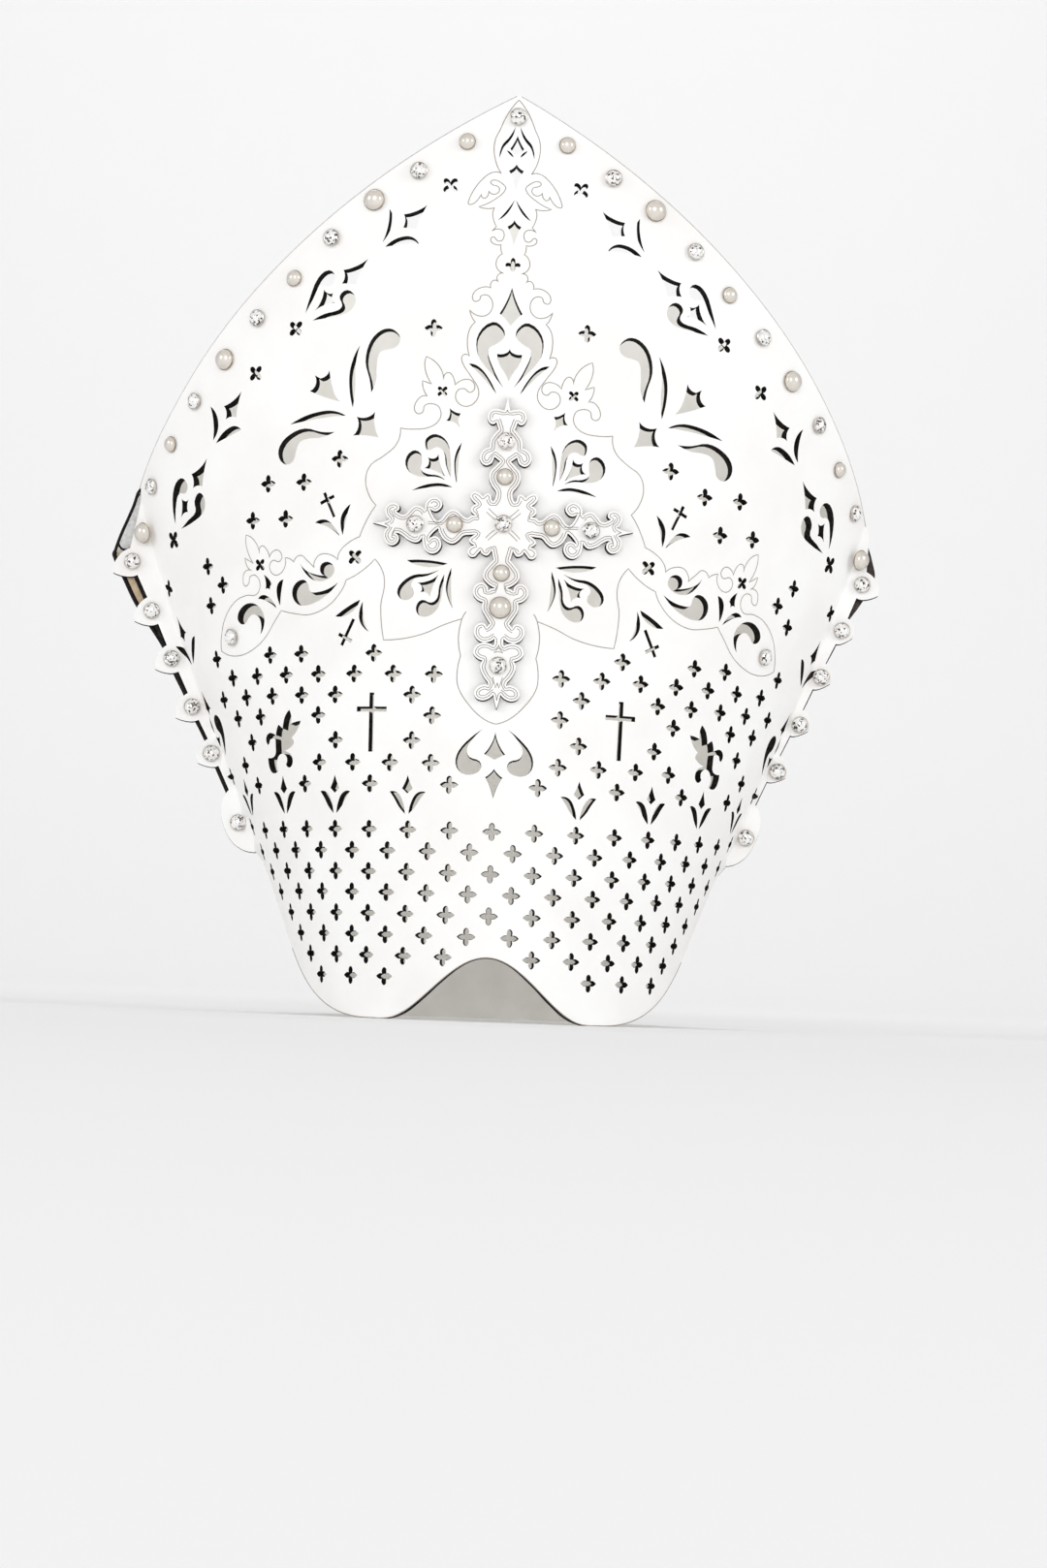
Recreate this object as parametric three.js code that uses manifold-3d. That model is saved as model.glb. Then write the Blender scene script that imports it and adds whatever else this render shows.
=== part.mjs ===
// A mitre of white leather: a front and a back panel, each a stiff bent sheet with an ogival top,
// with a narrow turned-out edge down each side. The front panel's edge lies on the back one's, and
// six ears on each side cross the seam. An applied cross, half pearls and crystals stand on the
// front. Millimetres, +Z up, the front faces -Y, and the rim stands on the plane Z = 0.
import * as THREE from 'three';
import { mergeVertices } from 'three/addons/utils/BufferGeometryUtils.js';
import Module from 'manifold-3d';

const wasm = await Module();
wasm.setup();

// Sheets
const LEATHER = 3;              // thickness of the panels
const CROSS_LEATHER = 2.0;      // thickness of the applied cross
const GAP = 0.3;                // clearance between two pieces that touch

// Body: each horizontal section of a panel is an arc, tight at the head and open at the crown
const HEIGHT = 388.5;           // apex above the rim
const HALF_DEPTH = 95;          // front line of a panel to its seam edge
const HEAD_RADIUS = 80;
const CROWN_RADIUS = 210;
const FLARE_START = -17;        // heights between which the radius opens
const FLARE_END = 315;

// Flat outline of a panel
const OGIVE_RADIUS = 576;       // arc of the upper edges
const OGIVE_SLOPE = THREE.MathUtils.degToRad(28);   // fall of the edge at the apex
const OGIVE_LIFT = { from: 150, run: 45, left: 9, right: 4.5 };   // rise over the arc near the seams
const RIM_AT_SEAM = 76;         // height of the rim where the side seam starts
const NOTCH_HEIGHT = 26.5;      // nose notch between the two lobes of the front rim
const NOTCH_HALF_WIDTH = 45;
const LOBE_OUTER = 53;          // where the flat bottom of a lobe ends

// Side seams: how far the turned-out edges of the two panels stand outside the seam line
const SEAM_EDGES = [
  { height: 76, frontLeft: 1.5, frontRight: 1.2, backLeft: 2.6, backRight: 1.6 },
  { height: 108, frontLeft: 2.8, frontRight: 1.3, backLeft: 3.6, backRight: 1.7 },
  { height: 121, frontLeft: 2.8, frontRight: 1.5, backLeft: 4.3, backRight: 1.9 },
  { height: 130, frontLeft: 3.6, frontRight: 1.8, backLeft: 5.4, backRight: 2.2 },
  { height: 141, frontLeft: 3.8, frontRight: 2.1, backLeft: 5.9, backRight: 2.5 },
  { height: 151, frontLeft: 4.5, frontRight: 2.4, backLeft: 7.0, backRight: 2.9 },
  { height: 162, frontLeft: 5.4, frontRight: 2.9, backLeft: 7.6, backRight: 3.3 },
  { height: 172, frontLeft: 6.0, frontRight: 3.8, backLeft: 10.1, backRight: 4.3 },
  { height: 183, frontLeft: 6.9, frontRight: 4.5, backLeft: 13.2, backRight: 5.0 },
  { height: 193.5, frontLeft: 8.3, frontRight: 4.9, backLeft: 14.9, backRight: 7.3 },
  { height: 204.5, frontLeft: 8.6, frontRight: 5.5, backLeft: 16.2, backRight: 10.7 },
  { height: 211, frontLeft: 5.8, frontRight: 4.2, backLeft: 12.0, backRight: 7.0 },
  { height: 218, frontLeft: 2.0, frontRight: 2.0, backLeft: 6.1, backRight: 2.2 },
  { height: 223, frontLeft: 0.4, frontRight: 0.3, backLeft: 2.2, backRight: 0.3 },
];
const FLANGE_ROOT = 1.5;        // overlap of a turned-out edge and its panel's wall

// Studs: radius and height of each kind
const STUDS = {
  crystal: { radius: 4.0, height: 3.2, shoulder: 1.2, crown: 0.6 },
  small_pearl: { radius: 3.4, height: 3.0, shoulder: 1.0, crown: 0.75 },
  large_pearl: { radius: 4.6, height: 4.0, shoulder: 1.2, crown: 0.75 },
};
const STUD_SIDES = 10;

// Studs along each upper edge, from the apex down: arc across from the centre line, and height
const EDGE_STUDS = [
  { kind: 'small_pearl', across: 21, height: 368 },
  { kind: 'crystal', across: 41, height: 355.5 },
  { kind: 'large_pearl', across: 60, height: 343.5 },
  { kind: 'crystal', across: 78.5, height: 328 },
  { kind: 'small_pearl', across: 95.5, height: 311.5 },
  { kind: 'crystal', across: 113, height: 295.5 },
  { kind: 'large_pearl', across: 130, height: 279 },
  { kind: 'crystal', across: 147.5, height: 262.5 },
  { kind: 'small_pearl', across: 164, height: 245.5 },
  { kind: 'crystal', across: 181, height: 229 },
];
// The last stud of each edge bridges the fold between panel and turned-out edge, square to neither
const FOLD_PEARL = { kind: 'large_pearl', height: 209.5, out: 0.2, forward: 3.2, tilt: 46 };
const APEX_STUD = { kind: 'crystal', across: 0, height: 379 };
const WING_STUD = { kind: 'crystal', across: 129.5, height: 161 };

// Ears: tabs of the front panel that cross the seam, each held by a crystal. stud and reach are
// distances outside the seam line, and droop turns a tab down from square to it.
const EARS = [
  { halfWidth: 6.4, droop: 14, round: false,
    left: { height: 201.6, stud: 9, reach: 18.2 }, right: { height: 201.6, stud: 5.4, reach: 13.6 } },
  { halfWidth: 6.4, droop: 12, round: false,
    left: { height: 179, stud: 7, reach: 15.9 }, right: { height: 180.2, stud: 4.2, reach: 9.9 } },
  { halfWidth: 6.4, droop: 12, round: false,
    left: { height: 157.4, stud: 5.4, reach: 14.1 }, right: { height: 159, stud: 3.8, reach: 8.6 } },
  { halfWidth: 6.4, droop: 12, round: false,
    left: { height: 135.8, stud: 4.2, reach: 13 }, right: { height: 137.6, stud: 3.8, reach: 8.4 } },
  { halfWidth: 6.4, droop: 12, round: false,
    left: { height: 115.3, stud: 3.8, reach: 11.2 }, right: { height: 116.5, stud: 3.8, reach: 8.2 } },
  { halfWidth: 15, droop: 0, round: true,
    left: { height: 84.5, stud: 3.8, reach: 10.4 }, right: { height: 86, stud: 3.8, reach: 8.4 } },
];

// Cut-outs of the front panel wide enough to matter here, mirrored about the centre line: a pointed
// leaf or a Latin cross, turned clockwise on the right side
const CUTOUTS = [
  { name: 'drop over the cross', across: 9, height: 279, width: 8.5, tall: 25, turn: 12, cross: false },
  { name: 'upper comma of the spray', across: 56, height: 276, width: 7, tall: 25, turn: -12, cross: false },
  { name: 'lower comma of the spray', across: 89, height: 241, width: 7, tall: 27, turn: 112, cross: false },
  { name: 'comma over the wing', across: 84, height: 178, width: 8.5, tall: 24, turn: 80, cross: false },
  { name: 'comma in the wing', across: 117, height: 170, width: 6.5, tall: 16, turn: 110, cross: false },
  { name: 'leaf under the cross', across: 11.5, height: 111, width: 6, tall: 18, turn: -20, cross: false },
  { name: 'Latin cross', across: 53.5, height: 123.5, width: 13.5, tall: 25, turn: 0, cross: true },
  { name: 'fleur-de-lis', across: 100, height: 116, width: 9.5, tall: 26, turn: -35, cross: false },
];
const CUT_BAR = 2.4;            // width of the bars of a cut Latin cross

// Applied cross: centre height, and the round and straight parts of its outline for one quarter
// or half, as offsets from its centre
const CROSS_HEIGHT = 206.3;
const CROSS_DISCS = [
  { name: 'top crystal', across: 0, up: 35.2, radius: 7.2 },
  { name: 'top pearl', across: 0, up: 20.3, radius: 6.4 },
  { name: 'side crystal', across: 36.3, up: -0.4, radius: 7 },
  { name: 'side pearl', across: 20, up: -0.2, radius: 6.6 },
  { name: 'centre crystal', across: 0, up: 0.6, radius: 8.5 },
  { name: 'bottom pearl', across: 0, up: -20, radius: 6.4 },
  { name: 'large pearl', across: 0, up: -34.4, radius: 7.6 },
  { name: 'bottom crystal', across: 0, up: -58.6, radius: 6.6 },
  { name: 'top scroll', across: 6.6, up: 45.4, radius: 3.6 },
  { name: 'upper scroll', across: 7.6, up: 29, radius: 3.6 },
  { name: 'inner diagonal scroll', across: 9.2, up: 9.4, radius: 4.6 },
  { name: 'outer diagonal scroll', across: 13.6, up: 12.8, radius: 2.6 },
  { name: 'inner lower scroll', across: 9.2, up: -9.4, radius: 4.6 },
  { name: 'outer lower scroll', across: 13.6, up: -12.8, radius: 2.6 },
  { name: 'side tip scroll, upper', across: 45.4, up: 5.2, radius: 3.6 },
  { name: 'side tip scroll, lower', across: 45.4, up: -5.6, radius: 3.6 },
  { name: 'side scroll, upper', across: 29.6, up: 7.2, radius: 3.6 },
  { name: 'side scroll, lower', across: 29.6, up: -8, radius: 3.6 },
  { name: 'scroll over the large pearl', across: 7.6, up: -27.6, radius: 3.4 },
  { name: 'scroll under the large pearl', across: 6.4, up: -46.4, radius: 3.4 },
  { name: 'scroll over the bottom crystal', across: 6.6, up: -52.8, radius: 3.2 },
  { name: 'bottom scroll', across: 5.4, up: -66.6, radius: 3.4 },
];
const CROSS_BARS = [
  { name: 'upright', acrossFrom: 0, acrossTo: 0, upFrom: -66, upTo: 46, halfWidth: 3.4 },
  { name: 'arm', acrossFrom: 0, acrossTo: 44, upFrom: 0, upTo: 0, halfWidth: 3.4 },
  { name: 'rising diagonal', acrossFrom: 0, acrossTo: 12, upFrom: 0, upTo: 12, halfWidth: 1.6 },
  { name: 'falling diagonal', acrossFrom: 0, acrossTo: 12, upFrom: 0, upTo: -12, halfWidth: 1.6 },
];
const CROSS_SPIKES = [
  { name: 'top', across: 0, up: 53.2, rootAcross: 0, rootUp: 42, halfWidth: 2.2 },
  { name: 'bottom', across: 0, up: -72.6, rootAcross: 0, rootUp: -60, halfWidth: 2.2 },
  { name: 'side', across: 52, up: 0, rootAcross: 40, rootUp: 0, halfWidth: 1.6 },
];
const CROSS_STUDS = [
  { name: 'crystal_cross_top', kind: 'crystal', across: 0, up: 35.2 },
  { name: 'crystal_cross_centre', kind: 'crystal', across: 0, up: 0.6 },
  { name: 'crystal_cross_left', kind: 'crystal', across: -36.3, up: -0.4 },
  { name: 'crystal_cross_right', kind: 'crystal', across: 36.3, up: -0.4 },
  { name: 'crystal_cross_bottom', kind: 'crystal', across: 0, up: -58.6 },
  { name: 'pearl_cross_top', kind: 'small_pearl', across: 0, up: 20.3 },
  { name: 'pearl_cross_left', kind: 'small_pearl', across: -20, up: -0.2 },
  { name: 'pearl_cross_right', kind: 'small_pearl', across: 20, up: -0.2 },
  { name: 'pearl_cross_lower', kind: 'small_pearl', across: 0, up: -20 },
  { name: 'pearl_cross_large', kind: 'large_pearl', across: 0, up: -34.4 },
];

// Derived planes
const SEAM_HALF = GAP / 2;                            // seam plane to the end of either panel
const FRONT_LINE = HALF_DEPTH + SEAM_HALF;            // seam plane to the front line of a panel
const CROSS_FACE = GAP + CROSS_LEATHER;               // outer face of the cross over the panel
const FRONT_ENVELOPE = FRONT_LINE + CROSS_FACE + GAP + STUDS.large_pearl.height;
const ENVELOPE_SHIFT = (FRONT_ENVELOPE - FRONT_LINE) / 2;   // centres the whole on Y = 0

const LEATHER_WHITE = new THREE.MeshStandardMaterial({ color: 0xf4f3f1, roughness: 0.55, metalness: 0 });
const PEARL = new THREE.MeshStandardMaterial({ color: 0xe6ded0, roughness: 0.25, metalness: 0.1 });
const CRYSTAL = new THREE.MeshStandardMaterial({ color: 0xe9e6e2, roughness: 0.05, metalness: 0.2 });

function sectionRadius(height) {
  const opening = THREE.MathUtils.smoothstep(height, FLARE_START, FLARE_END);
  return HEAD_RADIUS + (CROWN_RADIUS - HEAD_RADIUS) * opening;
}

// Point of a panel: arc across from the centre line on the outer face, height, depth under it.
// side is -1 for the front panel and +1 for the back one.
function wallPoint(across, height, depth, side) {
  const radius = sectionRadius(height);
  const turn = across / radius;
  const inset = radius - (radius - depth) * Math.cos(turn);
  return new THREE.Vector3((radius - depth) * Math.sin(turn), side * (FRONT_LINE - inset), height);
}

// Arc from the centre line to the seam edge, so that both faces end in one plane
function arcToSeam(height, depth) {
  const radius = sectionRadius(height);
  return radius * Math.acos((radius - HALF_DEPTH) / (radius - depth));
}

function ogive(across) {
  const centreAcross = -OGIVE_RADIUS * Math.sin(OGIVE_SLOPE);
  const centreHeight = HEIGHT - OGIVE_RADIUS * Math.cos(OGIVE_SLOPE);
  const run = Math.max(Math.abs(across) - OGIVE_LIFT.from, 0) / OGIVE_LIFT.run;
  const lift = (across < 0 ? OGIVE_LIFT.left : OGIVE_LIFT.right) * run ** 2;
  return centreHeight + Math.sqrt(OGIVE_RADIUS ** 2 - (Math.abs(across) - centreAcross) ** 2) + lift;
}

function backRim(across) {
  const run = (Math.abs(across) - LOBE_OUTER) / (arcToSeam(RIM_AT_SEAM, 0) - LOBE_OUTER);
  return run > 0 ? RIM_AT_SEAM * run ** 2 : 0;
}

function frontRim(across) {
  const run = Math.min(Math.abs(across) / NOTCH_HALF_WIDTH, 1);
  return backRim(across) + NOTCH_HEIGHT * (1 + Math.cos(Math.PI * run)) / 2;
}

// Height at which the column at this share of the panel's width crosses an outline
function crossing(share, outline) {
  let height = outline(0);
  for (let step = 0; step < 40; step += 1) {
    height = (height + outline(share * arcToSeam(height, 0))) / 2;
  }
  return height;
}

// Closed geometry from a grid of outer and inner points, grid[column][row]
function sheetGeometry(outer, inner) {
  const columns = outer.length - 1;
  const rows = outer[0].length - 1;
  const positions = [];
  const index = [];
  const sheetSize = (columns + 1) * (rows + 1);
  [outer, inner].forEach((sheet) => sheet.flat().forEach((point) => positions.push(...point)));
  const id = (column, row, sheet) => sheet * sheetSize + column * (rows + 1) + row;
  const quad = (a, b, c, d) => index.push(a, b, c, a, c, d);
  for (let i = 0; i < columns; i += 1) {
    for (let j = 0; j < rows; j += 1) {
      quad(id(i, j, 0), id(i + 1, j, 0), id(i + 1, j + 1, 0), id(i, j + 1, 0));
      quad(id(i, j, 1), id(i, j + 1, 1), id(i + 1, j + 1, 1), id(i + 1, j, 1));
    }
    quad(id(i, 0, 0), id(i, 0, 1), id(i + 1, 0, 1), id(i + 1, 0, 0));
    quad(id(i, rows, 0), id(i + 1, rows, 0), id(i + 1, rows, 1), id(i, rows, 1));
  }
  for (let j = 0; j < rows; j += 1) {
    quad(id(0, j, 0), id(0, j + 1, 0), id(0, j + 1, 1), id(0, j, 1));
    quad(id(columns, j, 0), id(columns, j, 1), id(columns, j + 1, 1), id(columns, j + 1, 0));
  }
  const geometry = new THREE.BufferGeometry();
  geometry.setAttribute('position', new THREE.Float32BufferAttribute(positions, 3));
  geometry.setIndex(index);
  return geometry;
}

function toSolid(geometry) {
  const bare = geometry.clone();
  bare.deleteAttribute('normal');
  bare.deleteAttribute('uv');
  const merged = mergeVertices(bare, 1e-4);
  return new wasm.Manifold(new wasm.Mesh({
    numProp: 3,
    vertProperties: new Float32Array(merged.attributes.position.array),
    triVerts: new Uint32Array(merged.index.array),
  }));
}

function toGeometry(solid) {
  const mesh = solid.getMesh();
  const geometry = new THREE.BufferGeometry();
  geometry.setAttribute('position', new THREE.BufferAttribute(mesh.vertProperties, 3));
  geometry.setIndex(new THREE.BufferAttribute(mesh.triVerts, 1));
  return geometry;
}

function panelWall(side, columns, rows, rim) {
  const shares = Array.from({ length: columns + 1 }, (_, i) => (2 * i) / columns - 1);
  const sheet = (depth) => shares.map((share) => {
    const turned = -side * share;
    const low = crossing(turned, rim);
    const high = crossing(turned, ogive);
    return Array.from({ length: rows + 1 }, (_, j) => {
      const height = low + ((high - low) * j) / rows;
      return wallPoint(turned * arcToSeam(height, depth), height, depth, side);
    });
  });
  return toSolid(sheetGeometry(sheet(0), sheet(LEATHER)));
}

// The seam as seen from the front: its distance from the middle plane and its slope
function seamAt(height) {
  const across = (at) => wallPoint(arcToSeam(at, 0), at, 0, -1).x;
  const slope = across(height + 1) - across(height - 1);
  return { across: across(height), lean: Math.atan2(slope, 2) };
}

// Flat plate in a plane parallel to the seam plane, between two distances behind it
function seamPlate(shape, yFrom, yTo) {
  const extrusion = { depth: yTo - yFrom, bevelEnabled: false, curveSegments: 6 };
  const plate = new THREE.ExtrudeGeometry(shape, extrusion);
  plate.rotateX(Math.PI / 2);
  plate.translate(0, yTo, 0);
  return plate;
}

// Point of the seam plane, from the seam point at this height: out is square to the seam line and
// away from the middle, along runs up it, and droop turns both clockwise. hand is -1 on the left.
function seamPoint(hand, height, out, along = 0, droop = 0) {
  const seam = seamAt(height);
  const turn = seam.lean + THREE.MathUtils.degToRad(droop);
  const across = seam.across + out * Math.cos(turn) + along * Math.sin(turn);
  return new THREE.Vector2(hand * across, height - out * Math.sin(turn) + along * Math.cos(turn));
}

// Turned-out edge of a panel along one seam
function seamFlange(hand, column) {
  const outer = SEAM_EDGES.map((row) => seamPoint(hand, row.height, row[column]));
  const inner = SEAM_EDGES.map((row) => seamPoint(hand, row.height, -FLANGE_ROOT));
  return new THREE.Shape([...outer, ...inner.reverse()]);
}

// Ear of the front panel: a pointed leaf, or a half round at the foot of the seam
function earShape(hand, ear) {
  const { height, stud, reach } = hand < 0 ? ear.left : ear.right;
  const place = (out, along) => {
    const point = seamPoint(hand, height, out, along, ear.droop);
    return [point.x, point.y];
  };
  const waist = ear.round ? reach : (stud + reach) / 2;
  const cheek = ear.round ? 0.75 : 0.4;
  const shape = new THREE.Shape();
  shape.moveTo(...place(-FLANGE_ROOT, -ear.halfWidth));
  shape.bezierCurveTo(...place(waist, -ear.halfWidth), ...place(reach, -ear.halfWidth * cheek),
    ...place(reach, 0));
  shape.bezierCurveTo(...place(reach, ear.halfWidth * cheek), ...place(waist, ear.halfWidth),
    ...place(-FLANGE_ROOT, ear.halfWidth));
  shape.closePath();
  return shape;
}

// Prism through the front wall along its normal
function wallCutter(cut, hand) {
  const halfWidth = cut.width / 2;
  const halfTall = cut.tall / 2;
  const outline = [];
  if (cut.cross) {
    const bar = CUT_BAR / 2;
    const arm = cut.tall / 4;
    outline.push([bar, -halfTall], [bar, arm - bar], [halfWidth, arm - bar], [halfWidth, arm + bar]);
    outline.push([bar, arm + bar], [bar, halfTall], [-bar, halfTall], [-bar, arm + bar]);
    outline.push([-halfWidth, arm + bar], [-halfWidth, arm - bar], [-bar, arm - bar], [-bar, -halfTall]);
  } else {
    const shoulder = 0.75;
    outline.push([0, -halfTall], [halfWidth * shoulder, -halfTall / 2], [halfWidth, 0]);
    outline.push([halfWidth * shoulder, halfTall / 2], [0, halfTall], [-halfWidth * shoulder, halfTall / 2]);
    outline.push([-halfWidth, 0], [-halfWidth * shoulder, -halfTall / 2]);
  }
  const through = 3 * LEATHER;
  const shape = new THREE.Shape(outline.map(([x, y]) => new THREE.Vector2(x, y)));
  const prism = new THREE.ExtrudeGeometry(shape, { depth: 2 * through, bevelEnabled: false });
  prism.translate(0, 0, -through);
  prism.rotateZ(THREE.MathUtils.degToRad(-hand * cut.turn));
  const across = hand * cut.across;
  const frame = wallFrame(across, cut.height, 0);
  prism.applyMatrix4(frame);
  return toSolid(prism);
}

// Placement on the front wall at a standoff: X along the wall, Y up, Z outward
function wallFrame(across, height, standoff) {
  const at = (u, z) => wallPoint(u, z, -standoff, -1);
  const sideways = at(across + 1, height).sub(at(across - 1, height)).normalize();
  const outward = sideways.clone().cross(at(across, height + 1).sub(at(across, height - 1))).normalize();
  const upward = outward.clone().cross(sideways);
  return new THREE.Matrix4().makeBasis(sideways, upward, outward).setPosition(at(across, height));
}

// Placement over the fold of the left or right seam: Y up the seam, Z between forward and outward
function foldFrame(hand, stud) {
  const foot = seamPoint(hand, stud.height, 0);
  const out = seamPoint(hand, stud.height, 1).sub(foot);
  const up = seamPoint(hand, stud.height, 0, 1).sub(foot);
  const at = foot.addScaledVector(out, stud.out);
  const tilt = THREE.MathUtils.degToRad(stud.tilt);
  const normal = new THREE.Vector3(out.x * Math.sin(tilt), -Math.cos(tilt), out.y * Math.sin(tilt));
  const upward = new THREE.Vector3(up.x, 0, up.y);
  const frame = new THREE.Matrix4().makeBasis(upward.clone().cross(normal), upward, normal);
  return frame.setPosition(at.x, -SEAM_HALF - LEATHER - stud.forward, at.y);
}

function frontPanel() {
  const front = -SEAM_HALF - LEATHER;
  const parts = [panelWall(-1, 46, 14, frontRim)];
  [{ hand: -1, column: 'frontLeft' }, { hand: 1, column: 'frontRight' }].forEach(({ hand, column }) => {
    parts.push(toSolid(seamPlate(seamFlange(hand, column), front, -SEAM_HALF)));
    EARS.forEach((ear) => parts.push(toSolid(seamPlate(earShape(hand, ear), front, -SEAM_HALF))));
  });
  const cutters = CUTOUTS.flatMap((cut) => [wallCutter(cut, -1), wallCutter(cut, 1)]);
  return toGeometry(wasm.Manifold.union(parts).subtract(wasm.Manifold.union(cutters)));
}

function backPanel() {
  const parts = [panelWall(1, 32, 12, backRim)];
  [{ hand: -1, column: 'backLeft' }, { hand: 1, column: 'backRight' }].forEach(({ hand, column }) => {
    parts.push(toSolid(seamPlate(seamFlange(hand, column), SEAM_HALF, SEAM_HALF + LEATHER)));
  });
  return toGeometry(wasm.Manifold.union(parts));
}

// The cross is cut from a sheet that follows the front panel
function appliedCross() {
  const halfSpan = 60;            // the sheet is a little larger than the cross
  const low = CROSS_HEIGHT - 80;
  const high = CROSS_HEIGHT + 60;
  const columns = 10;
  const rows = 4;
  const sheet = (depth) => Array.from({ length: columns + 1 }, (_, i) => {
    const across = halfSpan * ((2 * i) / columns - 1);
    const height = (row) => low + ((high - low) * row) / rows;
    return Array.from({ length: rows + 1 }, (__, row) => wallPoint(across, height(row), depth, -1));
  });
  const layer = toSolid(sheetGeometry(sheet(-CROSS_FACE), sheet(-GAP)));
  const cutterDepth = HALF_DEPTH / 2;
  const prism = (shape) => toSolid(seamPlate(shape, -FRONT_ENVELOPE, -FRONT_ENVELOPE + cutterDepth));
  const parts = [];
  const mirrored = (points) => {
    parts.push(prism(new THREE.Shape(points)));
    parts.push(prism(new THREE.Shape(points.map((point) => new THREE.Vector2(-point.x, point.y)).reverse())));
  };
  CROSS_DISCS.forEach((disc) => {
    const sides = 12;
    mirrored(Array.from({ length: sides }, (_, i) => new THREE.Vector2(
      disc.across + disc.radius * Math.cos((2 * Math.PI * i) / sides),
      CROSS_HEIGHT + disc.up + disc.radius * Math.sin((2 * Math.PI * i) / sides),
    )));
  });
  CROSS_BARS.forEach((bar) => {
    const from = new THREE.Vector2(bar.acrossFrom, CROSS_HEIGHT + bar.upFrom);
    const to = new THREE.Vector2(bar.acrossTo, CROSS_HEIGHT + bar.upTo);
    const along = to.clone().sub(from).normalize();
    const aside = new THREE.Vector2(along.y, -along.x).multiplyScalar(bar.halfWidth);
    const near = [from.clone().add(aside), to.clone().add(aside)];
    const far = [to.clone().sub(aside), from.clone().sub(aside)];
    mirrored([...near, ...far]);
  });
  CROSS_SPIKES.forEach((spike) => {
    const root = new THREE.Vector2(spike.rootAcross, CROSS_HEIGHT + spike.rootUp);
    const tip = new THREE.Vector2(spike.across, CROSS_HEIGHT + spike.up);
    const along = tip.clone().sub(root).normalize();
    const aside = new THREE.Vector2(along.y, -along.x).multiplyScalar(spike.halfWidth);
    mirrored([root.clone().add(aside), tip, root.clone().sub(aside)]);
  });
  return toGeometry(layer.intersect(wasm.Manifold.union(parts)));
}

// Setting and stone or half pearl in one, its flat back on Z = 0
function studGeometry(kind) {
  const { radius, height, shoulder, crown } = STUDS[kind];
  const profile = [
    new THREE.Vector2(0, 0),
    new THREE.Vector2(radius, 0),
    new THREE.Vector2(radius, shoulder),
    new THREE.Vector2(radius * crown, height * 0.9),
    new THREE.Vector2(0, height),
  ];
  return new THREE.LatheGeometry(profile, STUD_SIDES).rotateX(Math.PI / 2);
}

const mitre = new THREE.Group();
mitre.position.y = ENVELOPE_SHIFT;

function addPiece(name, geometry, material) {
  const mesh = new THREE.Mesh(geometry, material);
  mesh.name = name;
  mitre.add(mesh);
  return mesh;
}

function addStud(name, kind, frame) {
  const stud = addPiece(name, studGeometry(kind), kind === 'crystal' ? CRYSTAL : PEARL);
  stud.applyMatrix4(frame);
  stud.translateZ(GAP);
}

addPiece('front_panel', frontPanel(), LEATHER_WHITE);
addPiece('back_panel', backPanel(), LEATHER_WHITE);
addPiece('applied_cross', appliedCross(), LEATHER_WHITE);

addStud('crystal_apex', APEX_STUD.kind, wallFrame(APEX_STUD.across, APEX_STUD.height, 0));
CROSS_STUDS.forEach((stud) => {
  addStud(stud.name, stud.kind, wallFrame(stud.across, CROSS_HEIGHT + stud.up, CROSS_FACE));
});
[{ name: 'left', hand: -1 }, { name: 'right', hand: 1 }].forEach(({ name, hand }) => {
  EDGE_STUDS.forEach((stud, i) => {
    addStud(`${stud.kind}_edge_${name}_${i + 1}`, stud.kind, wallFrame(hand * stud.across, stud.height, 0));
  });
  const last = `${FOLD_PEARL.kind}_edge_${name}_${EDGE_STUDS.length + 1}`;
  addStud(last, FOLD_PEARL.kind, foldFrame(hand, FOLD_PEARL));
  addStud(`crystal_wing_${name}`, WING_STUD.kind, wallFrame(hand * WING_STUD.across, WING_STUD.height, 0));
  EARS.forEach((ear, i) => {
    const at = seamPoint(hand, ear[name].height, ear[name].stud, 0, ear.droop);
    const frame = new THREE.Matrix4().makeRotationX(Math.PI / 2);
    addStud(`crystal_ear_${name}_${i + 1}`, 'crystal', frame.setPosition(at.x, -SEAM_HALF - LEATHER, at.y));
  });
});

export default mitre;
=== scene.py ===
"""Looks of a mitre of white leather: two laser-cut panels bent round the head, an applied cross
with engraved scrolls, half pearls and crystals.

Every leather piece is drawn flat, in millimetres, as a cutter would see it (across from the centre
line, height above the rim), is given its thickness, and is then bent into place. In an outline a
point in square brackets is a corner and one in round brackets lies on a smooth run.
"""
import math
import random

import bmesh
import bpy
from mathutils import Matrix, Vector


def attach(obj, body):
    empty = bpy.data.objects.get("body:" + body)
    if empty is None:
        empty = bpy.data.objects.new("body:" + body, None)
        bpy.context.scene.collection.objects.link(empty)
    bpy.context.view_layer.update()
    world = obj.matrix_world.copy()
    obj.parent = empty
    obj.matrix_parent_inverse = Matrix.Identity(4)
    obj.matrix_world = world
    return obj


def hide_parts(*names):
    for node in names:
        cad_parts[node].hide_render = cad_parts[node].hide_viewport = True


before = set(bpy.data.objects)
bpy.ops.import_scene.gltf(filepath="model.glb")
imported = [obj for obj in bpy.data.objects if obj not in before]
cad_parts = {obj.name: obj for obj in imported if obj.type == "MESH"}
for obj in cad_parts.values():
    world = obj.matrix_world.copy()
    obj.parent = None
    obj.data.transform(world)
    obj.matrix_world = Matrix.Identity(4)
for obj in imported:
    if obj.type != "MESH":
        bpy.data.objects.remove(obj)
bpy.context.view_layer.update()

MM = 0.001
random.seed(7)

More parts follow.
